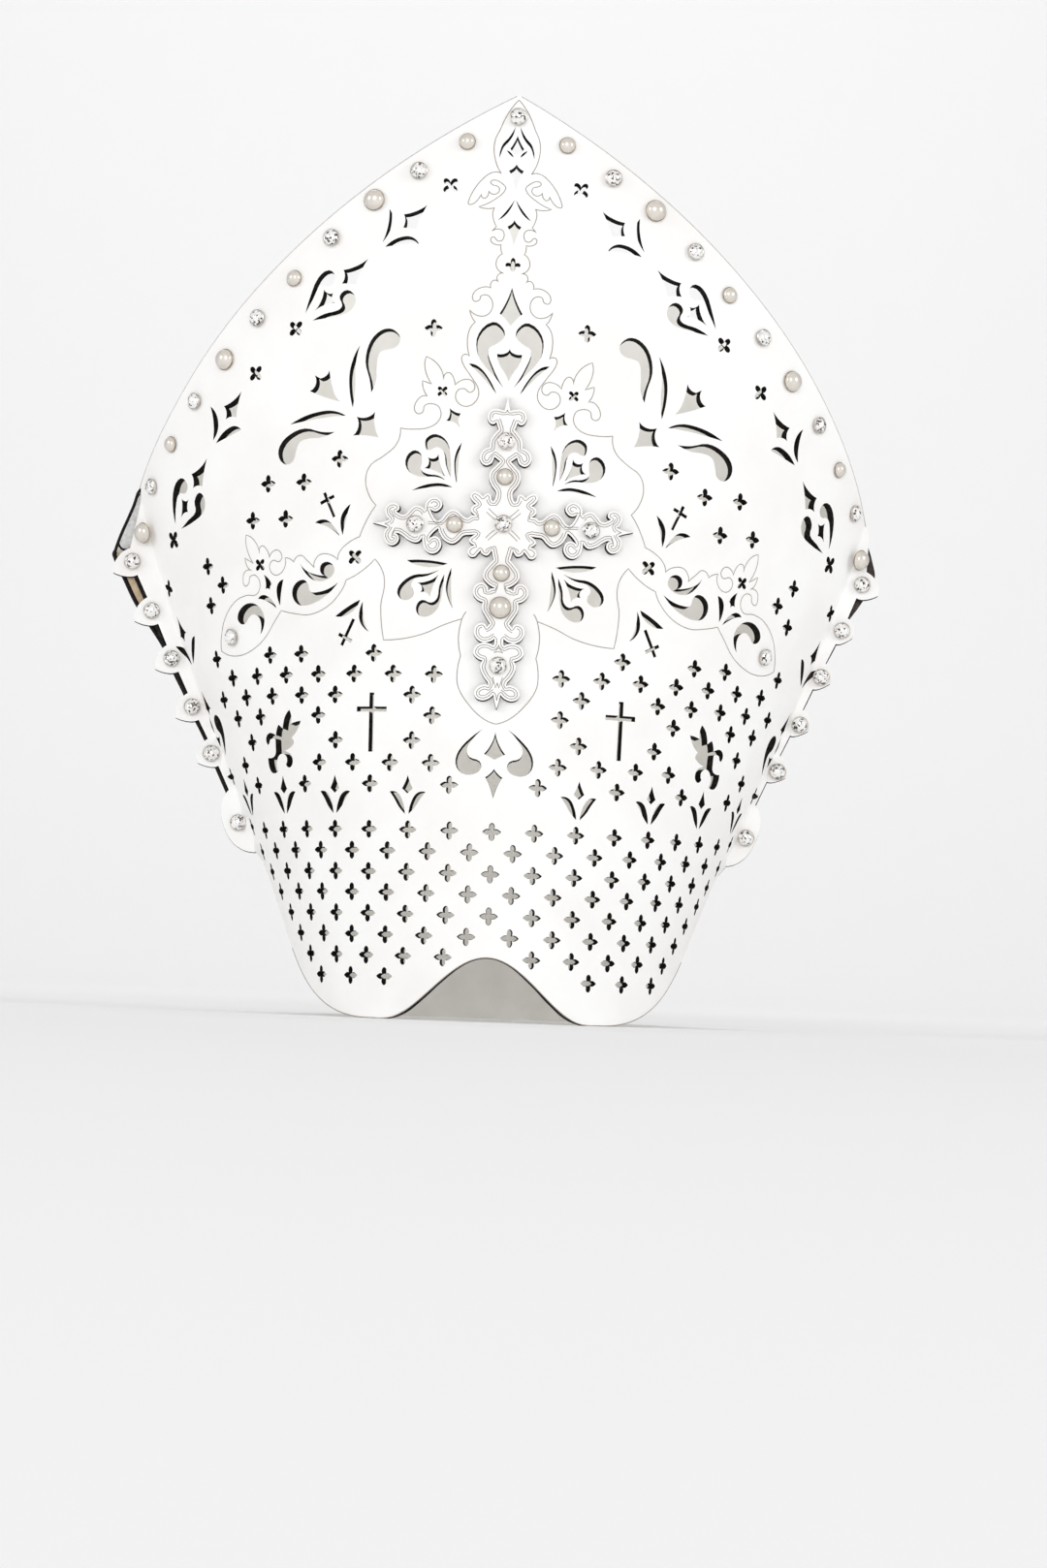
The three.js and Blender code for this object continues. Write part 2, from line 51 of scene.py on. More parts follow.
# ------------------------------------------------------------------ sizes, in millimetres
LEATHER = 3.0                   # panels
CROSS_LEATHER = 2.0             # applied cross
GAP = 0.3                       # clearance between two pieces that touch
HEIGHT = 388.5
HALF_DEPTH = 95.0               # front line of a panel to its seam edge
HEAD_RADIUS = 80.0
CROWN_RADIUS = 210.0
FLARE = (-17.0, 315.0)          # heights between which the radius opens
FOLD_RADIUS = 1.2               # outer face of the fold between wall and turned-out edge
OGIVE_RADIUS = 576.0
OGIVE_SLOPE = math.radians(28)
OGIVE_LIFT = (150.0, 45.0, 9.0, 4.5)    # near the seams: from, run, and rise on the left and right
RIM_AT_SEAM = 76.0
NOTCH_HEIGHT = 26.5
NOTCH_HALF_WIDTH = 45.0
LOBE_OUTER = 53.0
FRONT_LINE = HALF_DEPTH + GAP / 2
CENTRE_SHIFT = 3.3              # the whole is centred on Y = 0
CROSS_CENTRE = 206.3
CROSS_FACE = GAP + CROSS_LEATHER
GRID = (4.0, 9.5)               # scored lines of a panel: spacing across and up
GRID_COUNT = (53, 40)           # how many there are on each side of the middle, and up
CROSS_GRID = (5.0, 10.0)
CROSS_GRID_COUNT = (11, 14)
CROSS_GRID_FOOT = 127.0
FOLD_SIDE = 120.0               # arc beyond which a point of a panel is slid with its fold
FOLD_CUT = 165.0                # arc to which both folds are slid for their cuts
FOLD_STEP = 0.3                 # spacing of the scored lines at a fold
FOLD_COUNT = 8
MERGE = 1e-3                    # points nearer than this are one
SLIVER = 0.02                   # edges and faces thinner than this are joined to their neighbours
CUT_TAPER = 0.25                # narrowing of a cut on its way in, on each side
CUT_LEAN = 0.55                 # and how far it slopes down
CROSS_TAPER = 0.12
CROSS_LEAN = 0.3
LEAN_HEIGHT = (60.0, 90.0)      # height from which the cuts slope, and the run to their full slope
LEAN_ARC = (165.0, 15.0)        # the same from the edge inwards
HANDLE_SHARE = 0.36             # Bezier handle as a share of its chord, near a circle's
CURVE_STEPS = 6                 # straight steps between two points of an outline
CLOSE_STEPS = 3                 # the same for a cut-out drawn with many points
MANY_POINTS = 7
SHOULDER = 195.0                # upper corners of a panel
TRIMMED_SHOULDER = 192.0        # the front panel's left one
EDGE_FOOT = 71.5                # lower corner of a turned-out edge with ears
ROOT_SHARE = 0.92               # half of an ear's root, as a share of its half width
LEAF_SWELL = (0.55, 0.74)       # a pointed ear's sides: share of its reach and of its half width
ROUND_SWELL = (0.8, 0.62)       # the same for the half round
POINTED_UNDER = 10              # half width under which an ear is pointed
TOP_PLACES = range(20, 190, 20)         # places across at which an upper edge is drawn
RIM_PLACES = (130, 120, 110, 100, 90, 80, 70, 60, 53, 45, 36, 28, 20, 12, 6)
HAIRLINE = 0.36                 # widths of the lines
RIM_LINE = 0.4
CROSS_HAIRLINE = 0.27

# Turned-out edges: height, and how far the front panel's left and right edges and the back
# panel's left and right edges stand outside the seam
TURNED_EDGES = [
    (76, 1.5, 1.2, 2.6, 1.6), (108, 2.8, 1.3, 3.6, 1.7), (121, 2.8, 1.5, 4.3, 1.9),
    (130, 3.6, 1.8, 5.4, 2.2), (141, 3.8, 2.1, 5.9, 2.5), (151, 4.5, 2.4, 7, 2.9),
    (162, 5.4, 2.9, 7.6, 3.3), (172, 6, 3.8, 10.1, 4.3), (183, 6.9, 4.5, 13.2, 5),
    (193.5, 8.3, 4.9, 14.9, 7.9), (204.5, 8.6, 5.6, 16.6, 9.8), (211, 5, 4.2, 12, 6.6),
    (218, 1.2, 2, 6.3, 1.4), (223, -1.2, 0.3, 2.4, 0.3),
]
# Ears of the front panel, from the top: half width, droop in degrees, and for the left and the
# right one its height and how far its crystal and its tip stand outside the seam. The last one is
# a half round.
EARS = [
    (6.4, 14, (201.6, 9, 18.8), (201.6, 5.4, 14)), (6.4, 12, (179, 7, 15.9), (180.2, 4.2, 9.9)),
    (6.4, 12, (157.4, 5.4, 14.1), (159, 3.8, 8.6)), (6.4, 12, (135.8, 4.2, 13), (137.6, 3.8, 8.4)),
    (6.4, 12, (115.3, 3.8, 11.2), (116.5, 3.8, 8.2)), (15, 0, (84.5, 3.8, 10.4), (86, 3.8, 8.4)),
]


def hermite(x):
    x = min(max(x, 0), 1)
    return x * x * (3 - 2 * x)


def section_radius(height):
    opening = hermite((height - FLARE[0]) / (FLARE[1] - FLARE[0]))
    return HEAD_RADIUS + (CROWN_RADIUS - HEAD_RADIUS) * opening


def fold_of(height):
    """Turn of the wall at its fold, and the arcs from the centre line to the fold's two ends."""
    radius = section_radius(height)
    turn = math.acos(1 - (HALF_DEPTH - LEATHER) / (radius + FOLD_RADIUS))
    return turn, radius * turn, (radius + FOLD_RADIUS) * turn


def bend(across, height, depth, side):
    """Place, in metres, of a point of a flat panel: side is -1 for the front and +1 for the back."""
    radius = section_radius(height)
    turn, start, end = fold_of(height)
    arc = abs(across)
    if arc <= start:
        angle = arc / radius
        out = (radius - depth) * math.sin(angle)
        inward = radius - (radius - depth) * math.cos(angle)
    else:
        foot = (radius + FOLD_RADIUS) * math.sin(turn)
        angle = turn - min(arc - start, end - start) / FOLD_RADIUS
        out = foot - (FOLD_RADIUS + depth) * math.sin(angle) + max(arc - end, 0)
        centre = radius - (radius + FOLD_RADIUS) * math.cos(turn)
        inward = centre + (FOLD_RADIUS + depth) * math.cos(angle)
    y = side * (FRONT_LINE - inward) + CENTRE_SHIFT
    return Vector((math.copysign(out, across), y, height)) * MM


def unfold(out, height):
    """Arc on the flat panel of a point of the turned-out edge that is this far from the middle."""
    radius = section_radius(height)
    turn, _, end = fold_of(height)
    return out - (radius + FOLD_RADIUS) * math.sin(turn) + end


def skin(across, height, depth=0):
    return bend(across, height, depth, -1)


def seam_point(height, out, along=0, droop=0):
    """Distance from the middle and height of a point beside the seam, seen from the front."""
    def seam(at):
        radius = section_radius(at)
        return radius * math.sin(math.acos((radius - HALF_DEPTH) / radius))
    turn = math.atan2(seam(height + 1) - seam(height - 1), 2) + math.radians(droop)
    across = seam(height) + out * math.cos(turn) + along * math.sin(turn)
    return across, height - out * math.sin(turn) + along * math.cos(turn)


def seam_arc(height):
    radius = section_radius(height)
    return radius * math.acos((radius - HALF_DEPTH) / radius)


def ogive(across):
    centre = HEIGHT - OGIVE_RADIUS * math.cos(OGIVE_SLOPE)
    start, run, left, right = OGIVE_LIFT
    lift = (left if across < 0 else right) * max((abs(across) - start) / run, 0) ** 2
    aside = abs(across) + OGIVE_RADIUS * math.sin(OGIVE_SLOPE)
    return centre + math.sqrt(OGIVE_RADIUS ** 2 - aside ** 2) + lift


def back_rim(across):
    run = (abs(across) - LOBE_OUTER) / (seam_arc(RIM_AT_SEAM) - LOBE_OUTER)
    return RIM_AT_SEAM * run ** 2 if run > 0 else 0


def front_rim(across):
    run = min(abs(across) / NOTCH_HALF_WIDTH, 1)
    return back_rim(across) + NOTCH_HEIGHT * (1 + math.cos(math.pi * run)) / 2


def edge_out(height, column):
    """Turned-out width at this height, read between the rows of TURNED_EDGES."""
    for low, high in zip(TURNED_EDGES, TURNED_EDGES[1:]):
        if height <= high[0]:
            share = (height - low[0]) / (high[0] - low[0])
            return low[column] + (high[column] - low[column]) * share
    return TURNED_EDGES[-1][column]


# ------------------------------------------------------------------ drawing flat
def turned(outline, about, degrees, size=1):
    """The outline turned anticlockwise and scaled about the origin, then moved to a place."""
    c, s = math.cos(math.radians(degrees)) * size, math.sin(math.radians(degrees)) * size
    return [type(p)((about[0] + p[0] * c - p[1] * s, about[1] + p[0] * s + p[1] * c)) for p in outline]


def mirrored(outline):
    return [type(p)((-p[0], p[1])) for p in outline]


def both_sides(right_half):
    """Closed outline from its right half, which runs from the centre line back to it."""
    return right_half + mirrored(right_half[-2:0:-1])


def four_quarters(quarter):
    """Closed outline from its upper right quarter, which runs from the top to the right."""
    return both_sides(quarter + [type(p)((p[0], -p[1])) for p in quarter[-2::-1]])


def link_object(name, data):
    made = bpy.data.objects.new(name, data)
    bpy.context.scene.collection.objects.link(made)
    return made


def add_spline(curve, outline, closed, steps):
    """One Bezier run through the outline: sharp at its corners, round in between."""
    spline = curve.splines.new("BEZIER")
    spline.bezier_points.add(len(outline) - 1)
    spline.use_cyclic_u = closed
    spline.resolution_u = steps
    places = [Vector((p[0], p[1], 0)) for p in outline]
    count = len(places)

    def is_corner(i):
        return isinstance(outline[i % count], list) or (not closed and i % count in (0, count - 1))

    def direction(i):
        return (places[(i + 1) % count] - places[i - 1]).normalized()
    for i, point in enumerate(spline.bezier_points):
        point.co = places[i]
        point.handle_left_type = point.handle_right_type = "FREE"
        for step, name in ((-1, "handle_left"), (1, "handle_right")):
            other = (i + step) % count
            chord = places[other] - places[i]
            if not closed and not 0 <= i + step < count:
                setattr(point, name, places[i])
                continue
            along = chord.normalized()
            if not is_corner(i):
                way = direction(i) * step
            elif is_corner(other):
                way = along
            else:
                away = direction(other) * step
                way = 2 * away.dot(along) * along - away
            setattr(point, name, places[i] + way * chord.length * HANDLE_SHARE)


def drawn_mesh(name, curve):
    """bmesh of what the curve draws."""
    drawn = link_object(name, curve)
    bpy.context.view_layer.update()
    seen = drawn.evaluated_get(bpy.context.evaluated_depsgraph_get())
    bm = bmesh.new()
    bm.from_mesh(bpy.data.meshes.new_from_object(seen))
    bpy.data.objects.remove(drawn)
    return bm


def flat_sheet(name, outlines, steps=CURVE_STEPS):
    """Flat sheet, in millimetres, inside the first outline and outside the rest."""
    curve = bpy.data.curves.new(name, "CURVE")
    curve.dimensions = "2D"
    curve.fill_mode = "BOTH"
    add_spline(curve, outlines[0], True, steps)
    for outline in outlines[1:]:
        add_spline(curve, outline, True, CLOSE_STEPS if len(outline) > MANY_POINTS else steps)
    bm = drawn_mesh(name, curve)
    bmesh.ops.remove_doubles(bm, verts=bm.verts, dist=MERGE)
    return bm


def line_cords(name, lines, width, steps):
    """Hairlines, in millimetres, as fine cords that lie half in the leather."""
    curve = bpy.data.curves.new(name, "CURVE")
    curve.dimensions = "3D"
    curve.bevel_depth = width / 2
    curve.bevel_resolution = 0
    for line in lines:
        add_spline(curve, line, False, steps)
    return drawn_mesh(name, curve)


def score(bm, direction, places):
    """Cuts the sheet along parallel lines, so that it can bend there, and marks them as seams."""
    for place in places:
        cut = bmesh.ops.bisect_plane(bm, geom=bm.verts[:] + bm.edges[:] + bm.faces[:], dist=1e-4,
                                     plane_co=direction * place, plane_no=direction)["geom_cut"]
        for edge in (g for g in cut if isinstance(g, bmesh.types.BMEdge)):
            edge.seam = True


def join_cells(bm):
    """Joins the slivers that the fill left inside each cell between the scored lines."""
    bmesh.ops.dissolve_limit(bm, angle_limit=0.01, verts=bm.verts[:], edges=bm.edges[:], delimit={"SEAM"})
    bmesh.ops.dissolve_degenerate(bm, dist=SLIVER, edges=bm.edges[:])
    bmesh.ops.triangulate(bm, faces=bm.faces[:], quad_method="BEAUTY", ngon_method="BEAUTY")
    bmesh.ops.dissolve_degenerate(bm, dist=SLIVER, edges=bm.edges[:])


def score_grid(bm, spacing, count, foot):
    """Scores the sheet at count lines on each side of the middle, and at count lines up."""
    score(bm, Vector((1, 0, 0)), [spacing[0] * k for k in range(-count[0], count[0] + 1)])
    score(bm, Vector((0, 1, 0)), [foot + spacing[1] * k for k in range(count[1])])


def score_folds(bm):
    """Cuts the sheet along both folds: they are slid straight for the cut, and back again."""
    slid = bm.verts.layers.float.new("slid")
    for v in bm.verts:
        if abs(v.co.x) > FOLD_SIDE:
            v[slid] = 1
            v.co.x -= math.copysign(fold_of(v.co.y)[1] - FOLD_CUT, v.co.x)
    steps = [FOLD_CUT + FOLD_STEP * k for k in range(FOLD_COUNT)]
    score(bm, Vector((1, 0, 0)), steps + [-s for s in steps])
    for v in bm.verts:
        if v[slid] > 0.5:
            v.co.x += math.copysign(fold_of(v.co.y)[1] - FOLD_CUT, v.co.x)


def cut_drift(bm):
    """Direction out of the leather at each point of the sheet's cuts and edge."""
    drift = {}
    for edge in (e for e in bm.edges if e.is_boundary):
        along = (edge.verts[1].co - edge.verts[0].co).normalized()
        away = Vector((along.y, -along.x, 0))
        if away.dot(edge.verts[0].co - edge.link_faces[0].calc_center_median()) < 0:
            away.negate()
        for vert in edge.verts:
            place = tuple(vert.co)
            drift[place] = drift.get(place, Vector()) + away
    return drift


def thicken(bm, thickness, top=0.0, lean=None, taper=0.0):
    """Turns the flat sheet into a slab: outer face material 0, inner face 1, cut edges 2. top is
    the height of the outer face. lean says how far a cut slopes down on its way in, at a point of
    the sheet; taper is how much a cut narrows on its way in, on each side."""
    bmesh.ops.remove_doubles(bm, verts=bm.verts, dist=MERGE)
    drift = cut_drift(bm)
    sheet = bm.faces[:]
    for face in sheet:
        face.normal_update()
        if face.normal.z < 0:
            face.normal_flip()
    made = bmesh.ops.extrude_face_region(bm, geom=sheet, use_keep_orig=True)["geom"]
    for face in sheet:
        face.material_index = 0
    inner = [g for g in made if isinstance(g, bmesh.types.BMFace)]
    for face in bm.faces:
        face.smooth = True
    for vert in (g for g in made if isinstance(g, bmesh.types.BMVert)):
        away = drift.get(tuple(vert.co), Vector()).normalized() * taper
        vert.co.z -= thickness
        if lean:
            vert.co.y -= lean(vert.co.x, vert.co.y)
        vert.co.x += away.x
        vert.co.y = max(vert.co.y + away.y, 0)
    bmesh.ops.translate(bm, verts=bm.verts[:], vec=(0, 0, top))
    outer, lower = set(sheet), set(inner)
    for face in bm.faces:
        face.material_index = 0 if face in outer else 1 if face in lower else 2
    bmesh.ops.recalc_face_normals(bm, faces=bm.faces)


def place_bent(bm, side):
    for v in bm.verts:
        v.co = bend(v.co.x, v.co.y, -v.co.z, side)
    if side > 0:
        bmesh.ops.reverse_faces(bm, faces=bm.faces)


def finish_mesh(name, bm, materials, sharp=35):
    mesh = bpy.data.meshes.new(name)
    bm.to_mesh(mesh)
    bm.free()
    for material in materials:
        mesh.materials.append(material)
    mesh.set_sharp_from_angle(angle=math.radians(sharp))
    piece = link_object(name, mesh)
    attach(piece, "root")
    return piece


# ------------------------------------------------------------------ materials
def colour(code):
    """sRGB hex to linear RGBA."""
    parts = [int(code[i:i + 2], 16) / 255 for i in (1, 3, 5)]
    return (*[p / 12.92 if p <= 0.04045 else ((p + 0.055) / 1.055) ** 2.4 for p in parts], 1)


def add_node(tree, kind, links=None, **settings):
    """A node with its settings; a link maps an input to (node, output)."""
    node = tree.nodes.new(kind)
    for name, value in settings.items():
        if name.startswith("in_"):
            node.inputs[name[3:].replace("_", " ")].default_value = value
        else:
            setattr(node, name, value)
    for socket, (source, output) in (links or {}).items():
        tree.links.new(source.outputs[output], node.inputs[socket])
    return node


def new_material(name, **settings):
    """A material with its node tree and its shader, which gets the settings."""
    material = bpy.data.materials.new(name)
    material.use_nodes = True
    shader = material.node_tree.nodes["Principled BSDF"]
    for socket, value in settings.items():
        shader.inputs[socket.replace("_", " ")].default_value = value
    return material, material.node_tree, shader


def ramp(tree, source, output, low, high, stops=(0.35, 0.65)):
    node = add_node(tree, "ShaderNodeValToRGB", {"Fac": (source, output)})
    node.color_ramp.elements[0].position, node.color_ramp.elements[1].position = stops
    node.color_ramp.elements[0].color, node.color_ramp.elements[1].color = colour(low), colour(high)
    return node


def white_leather():
    """Finished cowhide, pigment-coated white: a fine pebbled grain about 0.8 mm across, a satin
    surface, and slow clouds of slightly warmer white where the hide takes the coat differently."""
    material, tree, shader = new_material("pigmented_white_leather", IOR=1.45, Specular_IOR_Level=0.35)
    place = add_node(tree, "ShaderNodeTexCoord")
    clouds = add_node(tree, "ShaderNodeTexNoise", {"Vector": (place, "Object")}, in_Scale=28, in_Detail=3)
    tint = ramp(tree, clouds, "Fac", "#F6F4F2", "#FAFAF9")
    tree.links.new(tint.outputs["Color"], shader.inputs["Base Color"])
    grain = add_node(tree, "ShaderNodeTexVoronoi", {"Vector": (place, "Object")}, in_Scale=1250,
                     feature="SMOOTH_F1")
    swell = add_node(tree, "ShaderNodeTexNoise", {"Vector": (place, "Object")}, in_Scale=90, in_Detail=2)
    soft = add_node(tree, "ShaderNodeMath", {0: (swell, "Fac")}, operation="MULTIPLY")
    soft.inputs[1].default_value = 1.5
    height = add_node(tree, "ShaderNodeMath", {0: (grain, "Distance"), 1: (soft, "Value")}, operation="ADD")
    bump = add_node(tree, "ShaderNodeBump", {"Height": (height, "Value")}, in_Strength=0.25,
                    in_Distance=0.00008)
    tree.links.new(bump.outputs["Normal"], shader.inputs["Normal"])
    sheen = ramp(tree, grain, "Distance", "#B6B6B6", "#C6C6C6", (0.1, 0.7))
    tree.links.new(sheen.outputs["Color"], shader.inputs["Roughness"])
    return material


def flesh_side():
    """The back of the hide: a short warm grey nap, about 0.5 mm, with darker patches."""
    material, tree, shader = new_material("suede_flesh_side", Roughness=0.9, Sheen_Weight=0.2)
    place = add_node(tree, "ShaderNodeTexCoord")
    patches = add_node(tree, "ShaderNodeTexNoise", {"Vector": (place, "Object")}, in_Scale=60, in_Detail=5)
    tint = ramp(tree, patches, "Fac", "#E8E6E1", "#F1EFEB")
    tree.links.new(tint.outputs["Color"], shader.inputs["Base Color"])
    nap = add_node(tree, "ShaderNodeTexNoise", {"Vector": (place, "Object")}, in_Scale=2000, in_Detail=2)
    bump = add_node(tree, "ShaderNodeBump", {"Height": (nap, "Fac")}, in_Strength=0.4, in_Distance=0.0002)
    tree.links.new(bump.outputs["Normal"], shader.inputs["Normal"])
    return material


def burned_edge(name="laser_burned_edge", low="#0D0B0A", high="#2E2824"):
    """Edge of leather cut by a laser: charred near-black, with paler fibres about 1.4 mm long. The
    lines that a weak beam draws are the same char, paler. In a grey brown the same fibres give the
    painted shade of the back's flesh margin beyond the right fold."""
    material, tree, shader = new_material(name, Roughness=0.85, Specular_IOR_Level=0.2)
    place = add_node(tree, "ShaderNodeTexCoord")
    fibres = add_node(tree, "ShaderNodeTexNoise", {"Vector": (place, "Object")}, in_Scale=700, in_Detail=4)
    tint = ramp(tree, fibres, "Fac", low, high, (0.4, 0.75))
    tree.links.new(tint.outputs["Color"], shader.inputs["Base Color"])
    bump = add_node(tree, "ShaderNodeBump", {"Height": (fibres, "Fac")}, in_Strength=0.3, in_Distance=0.0002)
    tree.links.new(bump.outputs["Normal"], shader.inputs["Normal"])
    return material


def tan_margin_with_painted_shade():
    """Flesh side along the left seam: bare pale nap at the top, a tan band of raw leather behind the
    first ears, and nearly black painted shade below, where the flange lies in shadow. Fibres about
    1.4 mm long blur the borders."""
    material, tree, shader = new_material("stained_flesh_margin", Roughness=0.9)
    place = add_node(tree, "ShaderNodeTexCoord")
    height = add_node(tree, "ShaderNodeSeparateXYZ", {"Vector": (place, "Object")})
    fibres = add_node(tree, "ShaderNodeTexNoise", {"Vector": (place, "Object")}, in_Scale=700, in_Detail=4)
    wander = add_node(tree, "ShaderNodeMapRange", {"Value": (fibres, "Fac")}, in_To_Min=-0.002,
                      in_To_Max=0.002)
    level = add_node(tree, "ShaderNodeMath", {0: (height, "Z"), 1: (wander, "Result")}, operation="ADD")
    share = add_node(tree, "ShaderNodeMapRange", {"Value": (level, "Value")}, in_From_Min=0.15,
                     in_From_Max=0.21)
    # Painted shade: nearly black below about 0.17 m, behind the lower ears; tan up to about 0.20 m, pale grey
    # above.
    band = ramp(tree, share, "Result", "#2A231E", "#3B312A", (0.2, 0.28))
    for position, code in ((0.34, "#5E5148"), (0.38, "#C9AE8E"), (0.60, "#DCC5A6"),
                           (0.84, "#CDB596"), (0.88, "#E2E2E1"), (1, "#E8E8E7")):
        band.color_ramp.elements.new(position).color = colour(code)
    shade = add_node(tree, "ShaderNodeMapRange", {"Value": (fibres, "Fac")}, in_From_Min=0.3,
                     in_From_Max=0.7, in_To_Min=0.75)
    worn = add_node(tree, "ShaderNodeVectorMath", {0: (band, "Color")}, operation="SCALE")
    tree.links.new(shade.outputs["Result"], worn.inputs["Scale"])
    tree.links.new(worn.outputs["Vector"], shader.inputs["Base Color"])
    return material


def pearl_lustre():
    """Pressed pearl: ivory nacre, smooth and glossy, with painted shade: its colour turns greyer where the
    surface turns away from the view.
    """
    material, tree, shader = new_material("ivory_nacre", Roughness=0.3, Specular_IOR_Level=1, Coat_Weight=1,
                                          Coat_Roughness=0.1, Coat_IOR=2.2)
    place = add_node(tree, "ShaderNodeTexCoord")
    veil = add_node(tree, "ShaderNodeTexNoise", {"Vector": (place, "Object")}, in_Scale=300, in_Detail=2)
    body = ramp(tree, veil, "Fac", "#D6CFC3", "#E1DACF")
    # Painted shade: seen at a slant, the rim of the pearl is darkened in its colour.
    facing = add_node(tree, "ShaderNodeLayerWeight", in_Blend=0.3)
    mix = add_node(tree, "ShaderNodeMix", {"Factor": (facing, "Facing")}, data_type="RGBA")
    tree.links.new(body.outputs["Color"], mix.inputs["A"])
    mix.inputs["B"].default_value = colour("#8B7E70")
    tree.links.new(mix.outputs["Result"], shader.inputs["Base Color"])
    return material


def foiled_crystal():
    """Cut glass over silver foil, with its reflections painted into the colour: most facets are painted
    white as the light they throw back, some points about 1 mm across painted dark."""
    material, tree, shader = new_material("foil_backed_crystal", Metallic=0.25, Roughness=0.08,
                                          Coat_Weight=0.8)
    place = add_node(tree, "ShaderNodeTexCoord")
    points = add_node(tree, "ShaderNodeTexVoronoi", {"Vector": (place, "Object")}, in_Scale=1100)
    pick = add_node(tree, "ShaderNodeSeparateColor", {"Color": (points, "Color")})
    facet = add_node(tree, "ShaderNodeAttribute", attribute_name="facet")
    both = add_node(tree, "ShaderNodeMath", {0: (pick, "Red"), 1: (facet, "Fac")}, operation="ADD")
    # Painted reflection: by a random value for each facet and each point, the colour is near white or dark
    # brown.
    tint = ramp(tree, both, "Value", "#3A332C", "#FAF9F7", (0.6, 0.72))
    tree.links.new(tint.outputs["Color"], shader.inputs["Base Color"])
    return material


def setting_metal(name="plated_setting", low="#B4ADA6", high="#E2DDD7"):
    """Thin rhodium-plated setting, drawn from brass, with a faint warm grey cast."""
    material, tree, shader = new_material(name, Metallic=0.8, Roughness=0.3)
    place = add_node(tree, "ShaderNodeTexCoord")
    wear = add_node(tree, "ShaderNodeTexNoise", {"Vector": (place, "Object")}, in_Scale=500, in_Detail=3)
    tint = ramp(tree, wear, "Fac", low, high)
    tree.links.new(tint.outputs["Color"], shader.inputs["Base Color"])
    return material


LEATHER_FACE = white_leather()
FLESH = flesh_side()
# Left flesh margin of the back: a tan band, with painted shade below it.
TAN_AND_SHADED_MARGIN = tan_margin_with_painted_shade()
# Painted shade: the back's flesh side beyond the right fold, dark grey brown because it lies in shadow.
SHADED_FLESH_MARGIN = burned_edge("painted_shade_flesh_margin", "#3E3633", "#5E5551")
BURNED = burned_edge()
SCORCHED = burned_edge("scorched_hairline", "#978E86", "#ADA59D")
ENGRAVED = burned_edge("engraved_line", "#7C736A", "#958C83")
EDGE_LINE = burned_edge("pale_cut_rim", "#BFBCB8", "#D2CFCB")
PEARL = pearl_lustre()
CRYSTAL = foiled_crystal()
METAL = setting_metal()
BRASS = setting_metal("worn_brass_collar", "#8C7A66", "#B3A28D")

# ------------------------------------------------------------------ cut-outs of the front panel
STAR = four_quarters([(0, 3.75), (0.95, 3.1), (1.2, 2), [1, 1.1], (2.3, 1.15), [3.9, 0]])
CROSSLET = four_quarters([(0, 3.8), (1.1, 2.9), [0.85, 0.85], (2.9, 1.1), (3.8, 0)])
# Rows of upright stars: height, and the places across from the centre line of the right half
STAR_ROWS = [
    (17.6, (44.6, 62.5, 82.4)), (26.3, (18.5, 36, 54, 71.2, 91)), (35, (9, 27, 44.6, 62, 79.6, 99.6)),
    (43.8, (0, 18, 35.6, 53.5, 71, 88.6, 108.4)), (52.6, (9, 26.7, 44.6, 62, 79.6, 97.4, 118.4)),
    (61.2, (0, 17.7, 35.6, 53.5, 71, 88, 106.4, 127)), (70, (9, 26.7, 44.6, 62, 79.6, 97, 115.6, 138)),
    (78.8, (0, 17.7, 35.6, 53.5, 71, 88, 105.3, 124.6)), (81, (146,)),
    (97.8, (18.5, 53.5, 88, 123)), (106.7, (26.7, 44.5, 62, 79.3, 133)), (116, (35.2, 70.7, 123)),
    (126.5, (26.8, 79.7, 114.5, 132.5)), (135, (35.7, 71, 88.5, 105.7, 123.5, 143)),
    (143.7, (26.7, 44.3, 62, 79.6, 97, 114.7, 132.5)), (152.3, (53.2, 88.5, 106, 143.7)),
    (175, (143.3,)), (183.2, (133.8,)), (191.7, (143.3,)), (209.4, (96.8, 114.3)),
    (224.6, (88, 106)), (234, (71.3,)), (289, (32.3,)), (103, (157,)),
]
LONE_STAR = ((179, 185), 20)    # place and turn
# Diagonal crosslets: across, height, size
CROSSLETS = [(27.5, 349.5, 1), (94, 290, 1), (113.5, 272, 1), (168, 204.8, 1.15), (63, 192.5, 0.95),
             (27.5, 262.3, 0.68), (110.5, 190.5, 0.8)]
TULIP_PETAL = [[7.9, -1.7], (4.3, -2.2), (1.9, -5.8), [0.8, -10.9], (3.7, -7.8), (5.7, -4.6)]
TULIP = [both_sides([[0, 5.3], (1, 2.4), [2.35, -0.3], [0, -2.4]]), mirrored(TULIP_PETAL), TULIP_PETAL]
TULIP_ROW = (96.2, (36.3, 71, 102.2, 138.5))
# Right halves of the cut-outs that lie on the centre line
MIDDLE_CUTS = [both_sides(half) for half in (
    [[0, 371.2], (1.2, 368.4), [2.9, 365.6], (1.4, 363.6), [0, 362.4]],
    [[0, 359.2], (1, 357.6), [3.1, 356.3], (1.4, 352.6), [0, 347.5]],
    [[0, 335.5], (1, 333.8), [2.9, 332.6], (1.3, 329), [0, 324.6]],
    [(0, 319.4), (0.9, 318.4), [0.9, 316.9], (2.4, 317.2), (3.2, 316.3), (2.4, 315.4), [0.9, 315.6],
     (0.9, 314.4), (0, 313.4)],
    [[0, 306.8], (1.9, 301.2), [4.8, 295.7], (2.2, 293.3), [0, 290.6]],
    [[0, 281.4], (1.2, 279.2), [5.2, 278.6], (4.2, 274.4), (1.7, 270.6), [0, 267.2]],
    [[0, 120.5], (1.4, 115.6), [4.4, 111.1], [0, 108.8]],
    [[0, 105], (1.6, 102.9), [3.6, 101.4], (1.6, 97.6), [0, 92.6]],
)]
